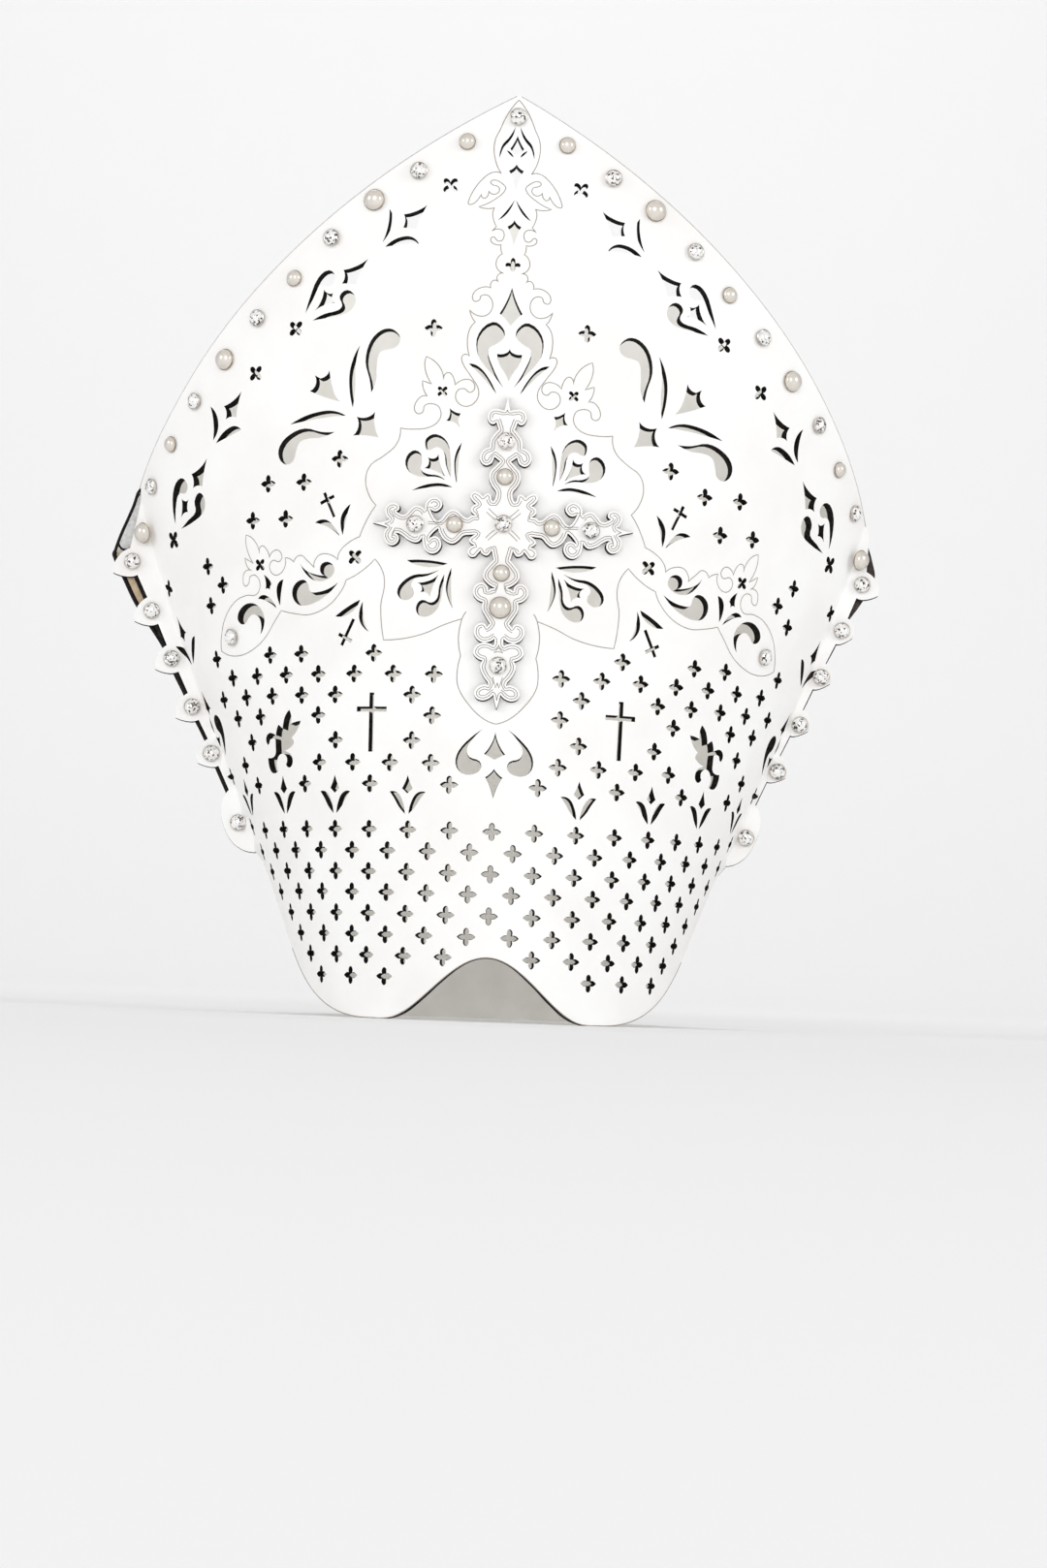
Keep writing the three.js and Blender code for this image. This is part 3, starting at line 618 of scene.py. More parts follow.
# Cut-outs of the right half
SIDE_CUTS = [
    # round the apex crystal
    [[1.0, 375], (3.4, 370.6), (6.4, 366.8), [7.3, 361.4], (5.6, 365.8), (2.6, 369.8)],
    [[4.4, 364.8], (2.6, 363.9), [1.4, 361.9], (2.9, 363.0)],
    [[0.3, 344], (2.9, 340), [6.9, 335.2], (4.2, 337), (1.8, 340.2)],
    # heart over the cross
    [[2.1, 264.4], (6.4, 269.4), (11.2, 274.6), (13.8, 280), (13.2, 287), (7.6, 292), (3.2, 289.6),
     (2.5, 285.8), (5.6, 282.8), (8.9, 280.4), (7.4, 274.2)],
    [[16.9, 274.2], (13, 273.2), (9, 269.2), [4.9, 261.8], (8.2, 265.6), (12, 269.6)],
    # sprig under the first large pearl
    [[37, 341.1], (41.6, 338.5), [46.9, 337.2], (46.2, 334.6), [47, 331.6], (44.4, 331.2), [41.4, 330.6],
     (39.9, 335.2)],
    [[53.3, 339.6], (53.6, 332.6), [55.8, 325.4], (52.6, 330.4), (51.4, 335)],
    [[39.9, 324.6], (45.6, 327.9), [54.6, 323.4], (47.2, 324.4)],
    # heart under the second crystal
    [[61.8, 318.6], (66.6, 315.7), [72.7, 314.1], (72, 311.2), [73.2, 308.3], (70.2, 308.2), [66.7, 307.6],
     (65.2, 312.4)],
    [[89.7, 296.3], (87.7, 303.2), (84.4, 311), (79.4, 314.3), (76.3, 311), (78.6, 307.6), (83.2, 307.6),
     (86.2, 302.4)],
    [[86.2, 293.1], (80.6, 295.7), (74.6, 297), (72.7, 299), (74, 303), (70.6, 305.5), (67, 302.6),
     (67.3, 298.4), (71.2, 295.4), (79, 294)],
    [[77, 304.4], (79.2, 304.3), [81.4, 306], (82.4, 301.4), [85.3, 297.2], (81, 299.4), [76, 300.2],
     (77.4, 302.2)],
    # spray
    [[58.2, 261.8], (59.2, 267.6), (61.2, 274.6), (60, 282), (56.4, 287), (51.4, 288.8), (47.4, 286.6),
     (46.4, 283.4), (48.6, 280.6), (52.2, 279.8), (55.2, 278.4), (56.2, 272), (56.2, 267)],
    [[63.9, 281.9], (67.4, 274.2), (68.2, 266), [66.2, 255.5], (65.4, 264), (65.6, 273.4)],
    [[77.4, 271.6], (78.9, 269.3), [81.6, 268.3], [84.2, 269.7], (83.6, 265.8), [86.3, 263.1],
     (79.6, 260.4), [72.2, 258.2], (75.2, 262.6)],
    [[56.2, 253.6], (59.6, 251.3), [64.2, 251.6], (63.4, 247.4), [65.6, 243.7], (60.4, 243.7),
     [54.2, 242.7], (56.2, 248)],
    [[69.2, 252.2], (79.6, 254.4), [95.4, 249.2], (80.4, 251.4)],
    [[74, 245.4], (80.4, 245.6), (88, 247.3), (95.4, 245), (100.3, 240.4), (100.6, 235.4), (97, 232.3),
     (93.4, 233.8), (92.2, 237.8), (90.4, 241.6), (85.6, 243), (80.4, 243.2)],
    # palmette beside the top of the cross
    [[19.5, 253.2], (21.8, 253.6), [24.3, 255.3], (24.1, 252.2), [25.5, 249.9], (22.4, 249.4),
     [19.8, 247.4], (20.3, 250.4)],
    [[18.5, 240.9], (20.8, 236.6), (21.4, 231.4), [20.1, 223.7], (19.6, 231), (19.4, 236)],
    [[22.7, 226.3], (23.0, 234), (24.7, 241), (29.4, 244.2), (33.4, 242.6), (33.9, 239.6), (32.6, 237.4),
     (29, 238.8), (26, 236.9), (24.9, 231.4)],
    [[24.9, 224.9], (29.2, 226.3), (35.8, 226.3), (40.4, 228.3), (42.2, 233), (39.4, 237.1), (35.9, 236.2),
     (35.1, 232), (35.4, 229.2), (32.4, 227.4), (28.2, 226.9)],
    [[28.2, 235.9], (29.8, 234), [32.6, 234.5], (32.2, 231.6), [34, 229.9], (29.4, 228.8), [25, 226.4],
     (27.2, 231)],
    [[21.8, 222], (29.2, 223.6), [39, 220.4], (30, 221.9)],
    # palmette beside the foot of the cross
    [[22.6, 190], (31.6, 191.3), [40, 191.2], (31.4, 188.4)],
    [[20.9, 188.3], (22.8, 182), (22.6, 177.6), [19.8, 171.3], (20.7, 178.4)],
    [[25.9, 187.4], (31, 185.6), (36.8, 185), (41.8, 181.8), (43.7, 177.6), (41.2, 174.6), (37.6, 175.2),
     (36.4, 177.6), (37.8, 181), (35.8, 183.6), (31, 184.7)],
    [[23.8, 185.6], (25.8, 180.4), (26.4, 175.6), (29, 173.5), (33, 174.6), (35.3, 171.6), (34, 168.2),
     (30.4, 167.7), (26.4, 170.6), (24.8, 175.6)],
    [[26.2, 185.4], (29.8, 182.8), [35.2, 181.8], (33.2, 180.2), [33.6, 177.8], (31.4, 177.8),
     [29.6, 176.2], (28.2, 181)],
    # leaves of the two tilted crosses
    [[65.7, 214.9], (69.3, 211), (70.1, 207), [68.9, 201.8], (67.6, 208.6)],
    [[82.1, 207.3], (77.4, 208.5), (73.6, 206), [70.3, 201.3], (75.4, 205)],
    [[58.8, 173.9], (60.4, 168.6), (59.4, 164.4), [55.8, 161.2], (58.2, 166.4)],
    [[60.1, 174.6], (66, 171.5), [71.5, 167.7], (64.4, 169)],
    # wing
    [[89.2, 190.4], (84.6, 184.4), (79.4, 182.6), (74.4, 184), (72.3, 187.2), (74.6, 190.4), (78.4, 190),
     (79.2, 186.8), [77, 184.9], (81, 185.4), (86, 187.2)],
    [[70.5, 182], (75.4, 179.2), (80.8, 178), (84, 178.4), (85, 181.4), (87.4, 183.4), (91.4, 182),
     (93.2, 178.2), (91.4, 174), (87.6, 172.5), (81.6, 173.6), (75.2, 177.2)],
    [[97.8, 183.9], (100.8, 182), (101.4, 178), [99.6, 172.9], (99, 178.6)],
    [[108.4, 186.3], (105.6, 184.2), [103.8, 181.8], (104.9, 181.4), [105, 179.6], (106.2, 180.4),
     [107.6, 180.1], (107.4, 183)],
    [[112.1, 176.2], (107.4, 177.5), [101.6, 171.8], (107.4, 175.2)],
    [[111.4, 161.2], (109, 165), (109, 169.4), (112, 173.2), (117.2, 174.7), (122.4, 173), (125.3, 169.2),
     (123.8, 166.4), (120.6, 166.1), (118.2, 168.4), (115.4, 169.8), (112.2, 168.7), (110.7, 165.6)],
    # under the cross
    [[5.2, 121.4], (10.4, 117.4), (15, 112), (16.1, 106.6), (13.4, 102.8), (9.2, 102.3), (5.6, 104.6),
     (6.2, 108), (10.4, 109.6), (11.6, 112.8), (9.4, 117)],
    # fleur-de-lis
    [[89.3, 124.2], (92.5, 123.8), [95.2, 123.0], (94.7, 126), [95.7, 129], (98.4, 126.4), (99.8, 123.2),
     [100.2, 121.2], [102.8, 122.9], (104.3, 120.6), [104.8, 118.5], (106.6, 119.2), (108.7, 119.6),
     (111, 118.7), (112, 116.6), [111, 114.6], (109.9, 115.2), (109.2, 116.6), (107.3, 117.2),
     [105.4, 116.8], (105.6, 113.5), (106, 110.8), (107.8, 109.3), [111.6, 109.1], (111.7, 106.3),
     (110.6, 103.6), (108.3, 102.5), [105.1, 103.4], (105.9, 105.3), (105.5, 107.6), (103.5, 110),
     [101.2, 110.6], (99.8, 110.2), (98.5, 108.6), [99.4, 106], (97.4, 104.7), (95.4, 105.9), (95, 108.4),
     (96.4, 110.6), (98.5, 111.4), [99.5, 112], (96.8, 112.7), (94.3, 114.3), (93.7, 115.4), [95, 117.3],
     (92, 119.7)],
    # sprig under the sixth crystal
    [[120.9, 264.8], (125.2, 261.2), [130.6, 259.1], (129.1, 256.4), [129.6, 253.3], (126.8, 254.3),
     [123.6, 253.9], (122.8, 259)],
    [[138.5, 259.6], (136.6, 252), [137, 245], (133.8, 252.2)],
    [[120.7, 248.3], (126.6, 250), [135.2, 243.6], (127.6, 246)],
    # heart under the last crystals
    [[140.9, 237.6], (145.4, 233.8), [151.2, 231.6], (149.9, 228.7), [150.6, 225.5], (147.6, 226.4),
     [144.4, 225.9], (143.2, 231)],
    [[165.1, 211.2], (166.1, 219.6), (164, 227), (158.8, 230.5), (154.4, 227.6), (155.6, 224), (160.4, 224),
     (163, 220.6)],
    [[160.8, 209], (155, 212.3), (149.6, 215.4), (149.9, 220), (146.4, 223.3), (143, 220), (144, 215.2),
     (149.4, 212)],
    [[153.9, 221.1], (156.2, 220.4), [158.9, 221.7], (158.9, 218), [160.4, 213.5], (158, 215.4),
     [155, 215.7], (155.2, 218.4)],
    # beside the ears
    [[176.2, 173.2], (173.4, 168.6), [169.2, 165.3], (171.4, 164.6), [173, 161.7], (174.6, 163.2),
     [176.7, 164], (175.9, 168)],
    [[161, 163.2], (165.2, 161.3), [168.8, 152], (164.4, 156.8)],
    [[179.9, 159.8], (175, 158.4), [170.7, 151.4], (176.2, 156)],
    [[167.4, 140.6], (164.4, 136.2), [160.2, 132], (162.4, 132), [164, 129.7], (165.2, 131.4),
     [166.8, 132.3], (166.6, 136)],
    [[157.2, 112], (151.2, 119), (150.8, 125.6), (155, 129.3), (159.4, 127.6), (159.2, 123.8), (155.4, 121),
     (155.2, 117)],
    [[165.9, 129.2], (166.2, 125.6), [164.4, 121.8], (164.9, 125.6)],
    [[158, 120.6], (161, 119.8), [164.2, 120.6], (163, 118), [161, 115.8], (159.6, 118)],
]


def latin_cross(foot, head, arm_from, arm_to, width):
    """Outline of a cross cut in one: an upright and an arm that crosses it."""
    foot, head = Vector(foot), Vector(head)
    up = (head - foot).normalized()
    aside = Vector((up.y, -up.x)) * width / 2
    middle = (Vector(arm_from) + Vector(arm_to)) / 2
    reach = (Vector(arm_to) - Vector(arm_from)).length / 2
    rise = up * width / 2
    at = foot + up * (middle - foot).dot(up)
    arm = aside.normalized() * reach
    corners = [foot + aside, at - rise + aside, at - rise + arm, at + rise + arm, at + rise + aside,
               head + aside, head - aside, at + rise - aside, at + rise - arm, at - rise - arm,
               at - rise - aside, foot - aside]
    return [list(c) for c in corners]


LATIN_CROSSES = [
    latin_cross((53.5, 111), (53.5, 135.7), (46.5, 128.8), (60.2, 128.8), 2.1),
    latin_cross((73, 209.5), (78, 219.8), (73.3, 218.6), (79.4, 215.3), 1.4),
    latin_cross((68.2, 155.5), (62.8, 166.5), (63.3, 157.2), (69.5, 160.1), 1.4),
]


def front_cuts():
    """Every cut-out of the front panel."""
    right = [turned(STAR, (u, z), 0) for z, row in STAR_ROWS for u in row if u > 0]
    right += [turned(STAR, *LONE_STAR)]
    right += [turned(CROSSLET, (u, z), 45, size) for u, z, size in CROSSLETS]
    right += [turned(part, (u, TULIP_ROW[0]), 0) for u in TULIP_ROW[1] for part in TULIP]
    right += SIDE_CUTS + LATIN_CROSSES
    middle = [turned(STAR, (0, z), 0) for z, row in STAR_ROWS for u in row if u == 0]
    return middle + MIDDLE_CUTS + right + [mirrored(cut) for cut in right]


def flat_seam(height, out, along=0, droop=0):
    """Flat point beside the seam, on the turned-out edge."""
    across, at = seam_point(height, out, along, droop)
    return unfold(across, at), at


def ear_root(ear, hand, column):
    """Height at the middle of an ear's root, where the drooping ear leaves the edge."""
    height = ear[2 + (hand > 0)][0]
    return height - edge_out(height, column) * math.sin(math.radians(ear[1]))


def seam_side(column, ears, hand):
    """Turned-out edge with its ears, from the top corner down to the rim, on one side."""
    rows = [(row[0], row[column]) for row in reversed(TURNED_EDGES)]
    if not ears:
        edge = [flat_seam(*row) for row in rows]
        edge[3] = list(edge[3])
        return edge[:-1] + [list(edge[-1])]
    edge = [flat_seam(*row) for row in rows[:2]]
    for ear in EARS:
        half, droop, (height, _, reach) = ear[0], ear[1], ear[2 + (hand > 0)]
        foot, root = edge_out(height, column), ear_root(ear, hand, column)
        above, below = root + half * ROOT_SHARE, root - half * ROOT_SHARE
        edge.append(list(flat_seam(above, edge_out(above, column))))
        if half > POINTED_UNDER:
            out, along = reach * ROUND_SWELL[0], half * ROUND_SWELL[1]
            edge += [flat_seam(height, out, along), flat_seam(height, reach),
                     flat_seam(height, out, -along)]
        else:
            out, along = foot + (reach - foot) * LEAF_SWELL[0], half * LEAF_SWELL[1]
            edge += [flat_seam(height, out, along, droop), list(flat_seam(height, reach, 0, droop)),
                     flat_seam(height, out, -along, droop)]
        edge.append(list(flat_seam(below, edge_out(below, column))))
    edge.append(list(flat_seam(EDGE_FOOT, edge_out(RIM_AT_SEAM, column))))
    return edge


def panel_outline(rim, columns, ears):
    """Closed outline of a panel, clockwise from the apex. columns are its left and right edges."""
    def half(hand):
        shoulder = TRIMMED_SHOULDER if ears and hand < 0 else SHOULDER
        top = [(u, ogive(hand * u)) for u in TOP_PLACES] + [[shoulder, ogive(hand * shoulder)]]
        low = [(u, rim(u)) for u in RIM_PLACES]
        return top + seam_side(columns[hand > 0], ears, hand) + low
    return [[0, HEIGHT]] + half(1) + [(0, rim(0))] + mirrored(list(reversed(half(-1))))


# ------------------------------------------------------------------ panels
def cut_lean(across, height):
    """The beam met the stretched hide a little from below, more so above the brow."""
    above = hermite((height - LEAN_HEIGHT[0]) / LEAN_HEIGHT[1])
    return CUT_LEAN * above * hermite((LEAN_ARC[0] - abs(across)) / LEAN_ARC[1])


def leather_panel(name, outlines, side, materials):
    """One panel, cut, scored, thickened and bent; beyond the back's folds its flesh side gets the margin
    colours, painted shade among them.
    """
    bm = flat_sheet(name, outlines)
    score_grid(bm, GRID, GRID_COUNT, GRID[1])
    score_folds(bm)
    join_cells(bm)
    front_side = side < 0
    thicken(bm, LEATHER, 0, cut_lean if front_side else None, CUT_TAPER if front_side else 0)
    for face in bm.faces:
        middle = face.calc_center_median()
        # The back's flesh side beyond its folds: the tan margin with painted shade below it on the left,
        # painted shade all along on the right.
        if side > 0 and face.material_index == 1 and abs(middle.x) > fold_of(middle.y)[1]:
            face.material_index = 3 if middle.x < 0 else 4
    place_bent(bm, side)
    return finish_mesh(name, bm, materials)


front = leather_panel("front_leather", [panel_outline(front_rim, (1, 2), True)] + front_cuts(), -1,
                      [LEATHER_FACE, FLESH, BURNED])
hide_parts("front_panel")

back = leather_panel("back_leather", [panel_outline(back_rim, (3, 4), False)], 1,
                     [LEATHER_FACE, FLESH, BURNED, TAN_AND_SHADED_MARGIN, SHADED_FLESH_MARGIN])
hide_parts("back_panel")

# ------------------------------------------------------------------ engraved lines of the front
SIDE_LINES = [
    # from the apex down to the shoulder of the cross
    [(0, 386.4), (3.2, 382.4), (5.8, 377.6), (7.4, 373.6), (9.2, 369.6), (9.7, 365), (8.6, 359.4),
     (6.3, 355)],
    [(6.3, 355), (10, 355.3), (14, 352.4), (17.6, 347.6), (19.7, 342.6), [19.4, 341.5], (17, 342.2),
     [14.3, 346], (12.8, 344.2), [11.3, 347.4], (9.2, 346), (7, 347.2), (7.2, 349.2), (9.6, 350),
     (10.6, 351.2), (9, 352.1), (6.2, 351), (4.2, 348.4), (9, 343.6), [15.3, 340.6], (12, 339.9),
     [8.6, 340.3]],
    [(8.6, 340.3), (9.2, 337), [7.5, 332.4], [9.3, 330.4], (6.6, 331.4), (4.4, 330.2), (4.6, 327),
     (6.6, 326.3), (8.6, 328), (9.7, 326.6), (8, 324.9), [5.3, 324.8], (5.2, 322.4), [4.6, 320.9],
     (6.8, 318.4), (6.6, 314.8), [3.6, 312.7], (6.2, 311.8), [5.8, 309], (8.2, 309.4), [8.9, 306.4],
     (12.6, 306.5), (16, 304), (15.9, 300.8), (13.6, 301), (12.6, 303.1), (9.4, 302.8), (7.8, 299),
     (9.6, 295.2), (13.4, 294.4), [17.4, 296.9], (16.2, 293.6), [14.8, 291.8], (17.3, 288), (17.8, 282.4),
     [16.7, 277.3], (19.6, 277.6), (19.4, 274.2), (15.6, 268.6), (12.4, 263.2), (13.2, 258.6),
     (17.4, 256.1), (21.4, 258.4), (21.4, 262.4), (18.4, 263.6), (16, 262), (14, 264), (15.4, 267),
     (19, 267.3), [22.3, 265], (24, 269.6), (26.2, 270), [27.2, 267.3], (29.4, 273), [34.9, 276.9],
     (35.2, 271.6), [32.2, 265.3], [36.1, 266.7], (35.6, 263.2), [33.8, 260.2], (37, 259.6), (39.2, 255.6),
     (38, 252.9), (35.6, 253.4), (34.8, 256.2), (31.6, 257), (28.4, 255.2), (28.2, 250.6), (32.4, 247.1),
     (39, 246.2), [44.8, 246.7]],
    [[44.8, 246.7], (46.2, 240), (51.6, 235), (57.2, 231.2), (59.3, 225.4), (57.8, 219), [54.3, 214.2],
     (58, 208.4), [61.2, 201], (66.4, 198.4), (70, 195), [71, 191.4], (74.6, 193.7), (79.4, 193.8),
     (82, 191), [82.2, 188.4], (85.6, 191.4), (89.2, 193.8), [92.4, 191], (94.4, 192.4), [97, 193],
     (96.9, 189.6), (99.4, 186.4), (103.2, 186.2), (105.3, 189.6), (103.4, 192.1), (100, 191.5),
     (98.6, 194), (101.6, 196.5), [105.3, 193.4], (107.2, 197.4), (109.8, 198.4), [110.7, 195.4],
     (113.4, 200.8), [118.2, 203.5], (118, 198), [114.4, 191.3], [119.2, 193.8], (117.8, 190),
     [115.4, 188.4], (119.4, 188), (120.7, 184.6), (119.6, 182), (117.3, 183), (116.4, 185.8), (112.8, 186),
     (110.7, 182), (113, 178.1), (119, 178), (126.6, 175.6), (134, 169), (138, 161), [139, 155.5],
     (130, 152.9), (119.4, 154), (109.4, 159), (102.6, 166.6), [99, 170.8], (92, 169.3), (84, 168.7),
     (75.6, 171.8), (69.6, 177.4), [66.8, 182.9], (60, 186.4), [54, 191.6], (50.2, 186), (49.4, 180),
     (50.7, 172), [49, 157.7], (40, 158.4), (31, 160.7), (24, 164), [15.8, 167]],
    [(14.1, 170), (15.8, 166.6), (16.9, 159.4), [15.7, 151.6], (16.9, 144), (16, 138), (11.6, 131.4),
     (5.8, 126), [0, 123.6]],
]


def lines_on(name, lines, width, side, material, depth=0.0, steps=4):
    """Cords laid on a panel, their middle at this depth in the leather."""
    fine = line_cords(name, lines, width, steps)
    bmesh.ops.translate(fine, verts=fine.verts[:], vec=(0, 0, -depth))
    place_bent(fine, side)
    piece = finish_mesh(name, fine, [material], 180)


lines_on("front_engraved_lines", SIDE_LINES + [mirrored(line) for line in SIDE_LINES], HAIRLINE, -1,
         SCORCHED)
upper_edges = [[(hand * u, ogive(hand * u) - 0.1) for u in (1, *TOP_PLACES, 194)] for hand in (-1, 1)]
lines_on("front_edge_lines", upper_edges, RIM_LINE, -1, EDGE_LINE)
lower_edge = [(u, front_rim(u) + 0.2) for u in range(-115, 116, 5)]
lines_on("front_rim_line", [lower_edge], RIM_LINE, -1, SCORCHED)


def edge_run(column, hand, top, low, inset=0.0):
    """The turned-out edge between two heights, as a run of flat points."""
    heights = [row[0] for row in reversed(TURNED_EDGES) if low < row[0] < top]
    points = [flat_seam(h, edge_out(h, column) - inset) for h in (top, *heights, low)]
    return [(hand * u, z) for u, z in points]


# Burned edge between the ears, and painted shadow where the line stands outside the edge: side, its column of
# TURNED_EDGES, width, and how far inside the edge
for name, hand, column, width, inset in (("left", -1, 1, 2.0, -0.9), ("right", 1, 2, 0.6, -0.1)):
    spans = [(ear_root(ear, hand, column), ear[0] * 0.8) for ear in EARS]
    gaps = [edge_run(column, hand, upper - above, lower + below, inset)
            for (upper, above), (lower, below) in zip(spans, spans[1:])]
    lines_on("front_burned_edge_and_shadow_" + name, gaps, width, -1, BURNED, 1.2)
shoulder_line = [(-u, ogive(-u) + 0.7) for u in (188.5, 190, 191.5, 193, 194.5)]
fold_line = [(-unfold(x, z), z) for x, z in ((170.2, 206), (169.4, 203.6), (167.4, 202.4), (164.6, 203.4))]
# Burned lines of the back: name, run, width, and how deep under the flesh side their middle lies
BACK_LINES = [
    ("back_burned_shoulder_left", shoulder_line + edge_run(3, -1, 222.8, 204.5, 0.5), 1.7, 0.3),
    ("back_burned_edge_left", edge_run(3, -1, 206, 76.5, 0.8), 2.2, 0.2),
    ("back_burned_edge_right", edge_run(4, 1, 218, 76.5, 0.2), 0.8, 0.4),
    ("back_fold_line", fold_line, 1.0, 0),
]
for name, run, width, inside in BACK_LINES:
    lines_on(name, [run], width, 1, BURNED, LEATHER - inside)

# ------------------------------------------------------------------ applied cross
CROSS_RIGHT = [
    [0, 260.6], (0.5, 257.4), [1.2, 254.4], (3.2, 254.9), (5.6, 255), (7.5, 253.6), (8.0, 251.2),
    (6.8, 248.9), [4.9, 248.9], [4.4, 249.7], (3.9, 248), [3.3, 246.4], (4.9, 244.6), (6.4, 242.2),
    [6.7, 238.9], (8.9, 238), (10.4, 236), (10.5, 233.4), (8.4, 231.3), (6.0, 232), (5.1, 233.4),
    [4.8, 235], [2.2, 233.1], (4.2, 231), (6.2, 228.4), (6.3, 225), [4, 221.2], (3.3, 219), [4.4, 216.2],
    (5.1, 216.9), (5.6, 218.9), (7, 219.5), [8.7, 218], (11, 219.8), (13, 219.9), (13.9, 218.1),
    (12.9, 216.2), [11.2, 214.9], (13, 213.9), (13.5, 212.2), (12.6, 210.9), [11.2, 210.2], (13.2, 209.9),
    [14.6, 208.9], (16.4, 209.6), (18.6, 211.6), (21, 212.4), (23.6, 211), (25.6, 208.4), [27.4, 207.4],
    (29.0, 209.4), [30.6, 212.9], (28.6, 211.5), (26.6, 212.2), (25.4, 214.4), (26.6, 216.6), (29.2, 217.4),
    (31.6, 216), (32.6, 213.6), [32.3, 211.6], (34.4, 213.5), (37.2, 213.6), (39.4, 211.5), (41, 210),
    [43.2, 210.3], [44.9, 211.4], (43.4, 212.4), (44, 214.2), (46.6, 214.9), (49, 213.4), (49.4, 210.6),
    [47.4, 208], (50, 207), [54.8, 206.5], (51, 205.6), [48.2, 204.6], (49.8, 202), (49, 198.8),
    (46.4, 197.1), (43.8, 198.2), (43.3, 200.8), [45.6, 202.3], [43.4, 202.2], (41.4, 201), (39.2, 199.4),
    (36.4, 198.4), (34.4, 199.0), [33.2, 201.3], (32.9, 197.8), (31.4, 194.8), (28.4, 193.8), (25.8, 195.6),
    (25.3, 198.6), (27.6, 201), [30.7, 199.5], (29.4, 201.9), [26.7, 204.4], (25.8, 201.8), (23.8, 199.3),
    (20.6, 198.1), (18, 199.6), (16.4, 201.4), [14.6, 201.9], [13.4, 202.0], [11.2, 202.3], (13.0, 201.0),
    (13.8, 199.6), (12.6, 198.2), [11.2, 197.7], (13.4, 196.6), (14.2, 194.8), (13.2, 193), (11.4, 192.8),
    (10.2, 194), [8.9, 195.7], (8.2, 194.2), (6.2, 193.5), (5, 194.6), [4.4, 196], (3.9, 193.8),
    [3.4, 191.8], (5.4, 189.6), (7.3, 186.6), (7, 183.4), [2.3, 180.1], [4.0, 179.8], [5.2, 178.9],
    (5.8, 181), (8, 182.2), (10.6, 180.8), (11.4, 178), (10, 175.4), [7.2, 174.1], (7.4, 171), (6, 168.3),
    [3.9, 165.2], [5.3, 163.6], (6, 165), (8.2, 165.2), (10.1, 163.4), (10, 160), (7.4, 157.5), (4, 157.6),
    [1.9, 159], (1.8, 157.4), [2.1, 156], (4.4, 157), (7.4, 156.9), (9.8, 155), (10, 152), [6.3, 149.7],
    (7.3, 147.4), (6.4, 144.2), [3.9, 140.8], [3.6, 139.4], (6, 139.6), (8.6, 138), (9.2, 135.4),
    (7.6, 133.5), (4.4, 133.4), [1.4, 135.8], (0.9, 133), [0, 129.6],
]


def rim_of(sheet):
    """Points of the sheet's edge, in order."""
    rim = []
    edge = next(e for e in sheet.edges if e.is_boundary)
    start = vert = edge.verts[0]
    while not rim or vert is not start:
        rim.append(vert.co.copy())
        vert = edge.other_vert(vert)
        edge = next(e for e in vert.link_edges if e.is_boundary and e is not edge)
    return rim


def inset_lines(rim, distance, shortest):
    """Runs of a line that follows the rim inside it, left out where the leather is too narrow."""
    count = len(rim)
    area = sum(a.x * b.y - b.x * a.y for a, b in zip(rim, rim[1:] + rim[:1]))
    hand = 1 if area > 0 else -1
    runs, run = [], []
    for i, at in enumerate(rim):
        along = (rim[(i + 1) % count] - rim[i - 1]).normalized()
        spot = at + Vector((-along.y, along.x, 0)) * distance * hand
        if min((spot - other).length for other in rim) > distance * CLEAR_SHARE:
            if not run or (spot - Vector((*run[-1], 0))).length > POINT_SPACING:
                run.append((spot.x, spot.y))
        else:
            runs.append(run)
            run = []
    runs.append(run)
    return [r for r in runs if len(r) >= shortest]


# Engraved lines that follow the rim: distance from it, and the fewest points of a run
RIM_LINES = ((0.95, 5), (1.95, 8))
CLEAR_SHARE = 0.93              # a line is dropped where it is nearer to the rim than this share
POINT_SPACING = 0.35            # smallest step between two of its points

flat_cross = flat_sheet("cross", [both_sides(CROSS_RIGHT)], 5)
cross_rim = rim_of(flat_cross)
cross_lines = [line for distance, fewest in RIM_LINES for line in inset_lines(cross_rim, distance, fewest)]
score_grid(flat_cross, CROSS_GRID, CROSS_GRID_COUNT, CROSS_GRID_FOOT)
thicken(flat_cross, CROSS_LEATHER, CROSS_FACE, lambda across, height: CROSS_LEAN, CROSS_TAPER)
place_bent(flat_cross, -1)
cross = finish_mesh("cross_leather", flat_cross, [LEATHER_FACE, FLESH, BURNED])
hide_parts("applied_cross")

CROSS_MARKS = [
    [[25.2, 206.8], [31, 207.1]], [[25.2, 205.9], [31, 206.2]],
    [(2.3, 209.7), (4.2, 211.3), (6.2, 213.2)], [(3.4, 208.6), (5.2, 210), (7, 211.7)],
    [(2.3, 203.4), (4.3, 201.6), (6, 199.9)], [(3.4, 204.3), (5.4, 202.6), (7, 200.8)],
    [[0, 155.2], [1.9, 153.1], [0, 153.6]],
    [[0, 140.6], [0.7, 138.4], [2, 143]],
]
cross_lines += CROSS_MARKS + [mirrored(mark) for mark in CROSS_MARKS]
lines_on("cross_engraved_lines", cross_lines, CROSS_HAIRLINE, -1, ENGRAVED, -CROSS_FACE, 2)


# ------------------------------------------------------------------ studs
STUDS = {"crystal": (3.7, 3.1), "small_pearl": (3.4, 3.0), "large_pearl": (4.5, 4.0)}   # radius, height
FOLD_PEARL = (209.5, 0.2, 3.2, math.radians(46))    # height, steps outward and forward, and tilt
COLLAR = (0.97, 0.42, 0.26)     # of a pearl: share of its radius, height and radius of the wire
# Rings of a brilliant's corners, at its table, its star and its girdle: how many, share of its
# radius and of its height, and their turn in steps
BRILLIANT = ((8, 0.42, 1, 0.5), (8, 0.66, 0.8, 0), (16, 0.86, 0.42, 0))
APEX_STUD = 379
WING_STUD = (129.5, 161)


